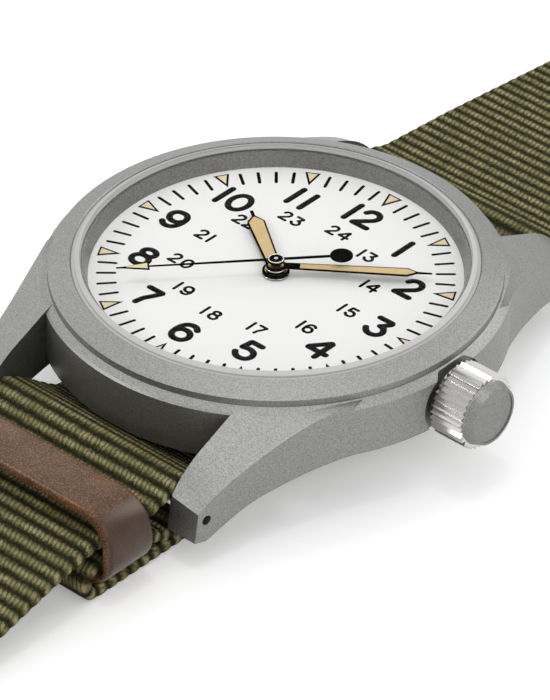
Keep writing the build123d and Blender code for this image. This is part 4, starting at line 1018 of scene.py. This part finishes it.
PLAIN_KEEPER = {"highs": (4.65, 4.65), "top": 1.3, "foot_out": 1.6}
keeper("keeper_lug_leather", "keeper_lug", "watch_head", highs=(7.1, 6.35), top=2.0, foot_out=3.0)
keeper("keeper_fixed_leather", "keeper_fixed", "watch_head", **PLAIN_KEEPER)
keeper("keeper_sliding_leather", "keeper_sliding", "sliding_keeper_set", **PLAIN_KEEPER)


# Table, light and camera, in metres
TABLE_HALF = 3.0
TABLE_WHITE = (0.95, 0.95, 0.95, 1)
TABLE_LIFT = 0.26


def table_white():
    """A white table top, lifted a little towards white for the rays that show the background."""
    s = Shader("table_white", TABLE_WHITE, roughness=0.9)
    lift = s.node("ShaderNodeEmission")
    s.link(s.math("MULTIPLY", s.seen(), TABLE_LIFT), lift.inputs["Strength"])
    both = s.node("ShaderNodeAddShader")
    s.link(s.bsdf.outputs[0], both.inputs[0])
    s.link(lift.outputs[0], both.inputs[1])
    s.surface(both.outputs[0])
    return s.material


def table():
    """The table top, as one large square under the watch."""
    corners = [(x * TABLE_HALF, y * TABLE_HALF, 0) for x, y in ((-1, -1), (1, -1), (1, 1), (-1, 1))]
    mesh = bpy.data.meshes.new("table_top")
    mesh.from_pydata(corners, [], [(0, 1, 2, 3)])
    made = bpy.data.objects.new("table_top", mesh)
    bpy.context.scene.collection.objects.link(made)
    mesh.materials.append(table_white())


table()


def softbox(name, place, size, power):
    """A square lamp that faces the frame's origin, under the watch."""
    data = bpy.data.lights.new(name, "AREA")
    data.shape = "SQUARE"
    data.size = size
    data.energy = power
    made = bpy.data.objects.new(name, data)
    bpy.context.scene.collection.objects.link(made)
    made.location = place
    made.rotation_euler = (-Vector(place)).to_track_quat("-Z", "Y").to_euler()


# Each lamp's name, place, side and power in watts
LAMPS = (
    ("overhead", (0.0, 0.0, 1.0), 1.0, 1.7),
    ("spark", (0.0, 0.0, 1.0), 0.1, 0.62),
    ("back_right", (0.3, 0.8, 0.45), 0.5, 2.0),
    ("left", (-0.85, 0.2, 0.55), 0.5, 0.62),
    ("front_left", (-0.6, -0.65, 0.55), 0.2, 1.74),
    ("right_fill", (0.85, -0.2, 0.5), 0.7, 2.1),
)
for lamp in LAMPS:
    softbox(*lamp)

ROOM_GREY = (0.5, 0.5, 0.5, 1)
BACKDROP_WHITE = (1, 1, 1, 1)


def studio():
    """Plain light from all round, in front of a white backdrop."""
    world = bpy.data.worlds.new("studio")
    bpy.context.scene.world = world
    world.use_nodes = True
    nodes = Tree(world.node_tree)
    room = world.node_tree.nodes["Background"]
    room.inputs["Color"].default_value = ROOM_GREY
    backdrop = nodes.node("ShaderNodeBackground")
    backdrop.inputs["Color"].default_value = BACKDROP_WHITE
    both = nodes.blend(nodes.seen(), room.outputs[0], backdrop.outputs[0])
    nodes.link(both, world.node_tree.nodes["World Output"].inputs["Surface"])


studio()

# The camera, fitted to the photograph: its direction in degrees, its distance and offsets, and its lens and
# sensor in millimetres
CAM_AZIMUTH, CAM_ELEVATION, CAM_ROLL = 41.963, 36.217, 0.258
CAM_DISTANCE, CAM_RIGHT, CAM_UP = 430.2 * MM, -0.0745 * MM, -6.11 * MM
CAM_LENS, CAM_SENSOR = 276.58, 36.0
CAM_NEAR = 0.01
# The distance and the offsets are measured from a point on the dial's axis, this far above the dial
CAM_RISE = 0.62 * MM
CAM_MIDDLE = Vector((0, 0, DIAL_TOP + CAM_RISE))


def place_camera():
    """The camera of the photograph."""
    a, e, r = (math.radians(v) for v in (CAM_AZIMUTH, CAM_ELEVATION, CAM_ROLL))
    back = Vector((math.sin(a) * math.cos(e), -math.cos(a) * math.cos(e), math.sin(e)))
    right = Vector((0, 0, 1)).cross(back).normalized()
    up = back.cross(right)
    right, up = right * math.cos(r) + up * math.sin(r), up * math.cos(r) - right * math.sin(r)
    data = bpy.data.cameras.new("camera")
    data.lens = CAM_LENS
    data.sensor_width = CAM_SENSOR
    data.clip_start = CAM_NEAR
    camera = bpy.data.objects.new("camera", data)
    bpy.context.scene.collection.objects.link(camera)
    turn = Matrix((right, up, back)).transposed().to_4x4()
    turn.translation = CAM_MIDDLE + right * CAM_RIGHT + up * CAM_UP + back * CAM_DISTANCE
    camera.matrix_world = turn
    bpy.context.scene.camera = camera


place_camera()

bpy.context.scene.view_settings.view_transform = "Standard"
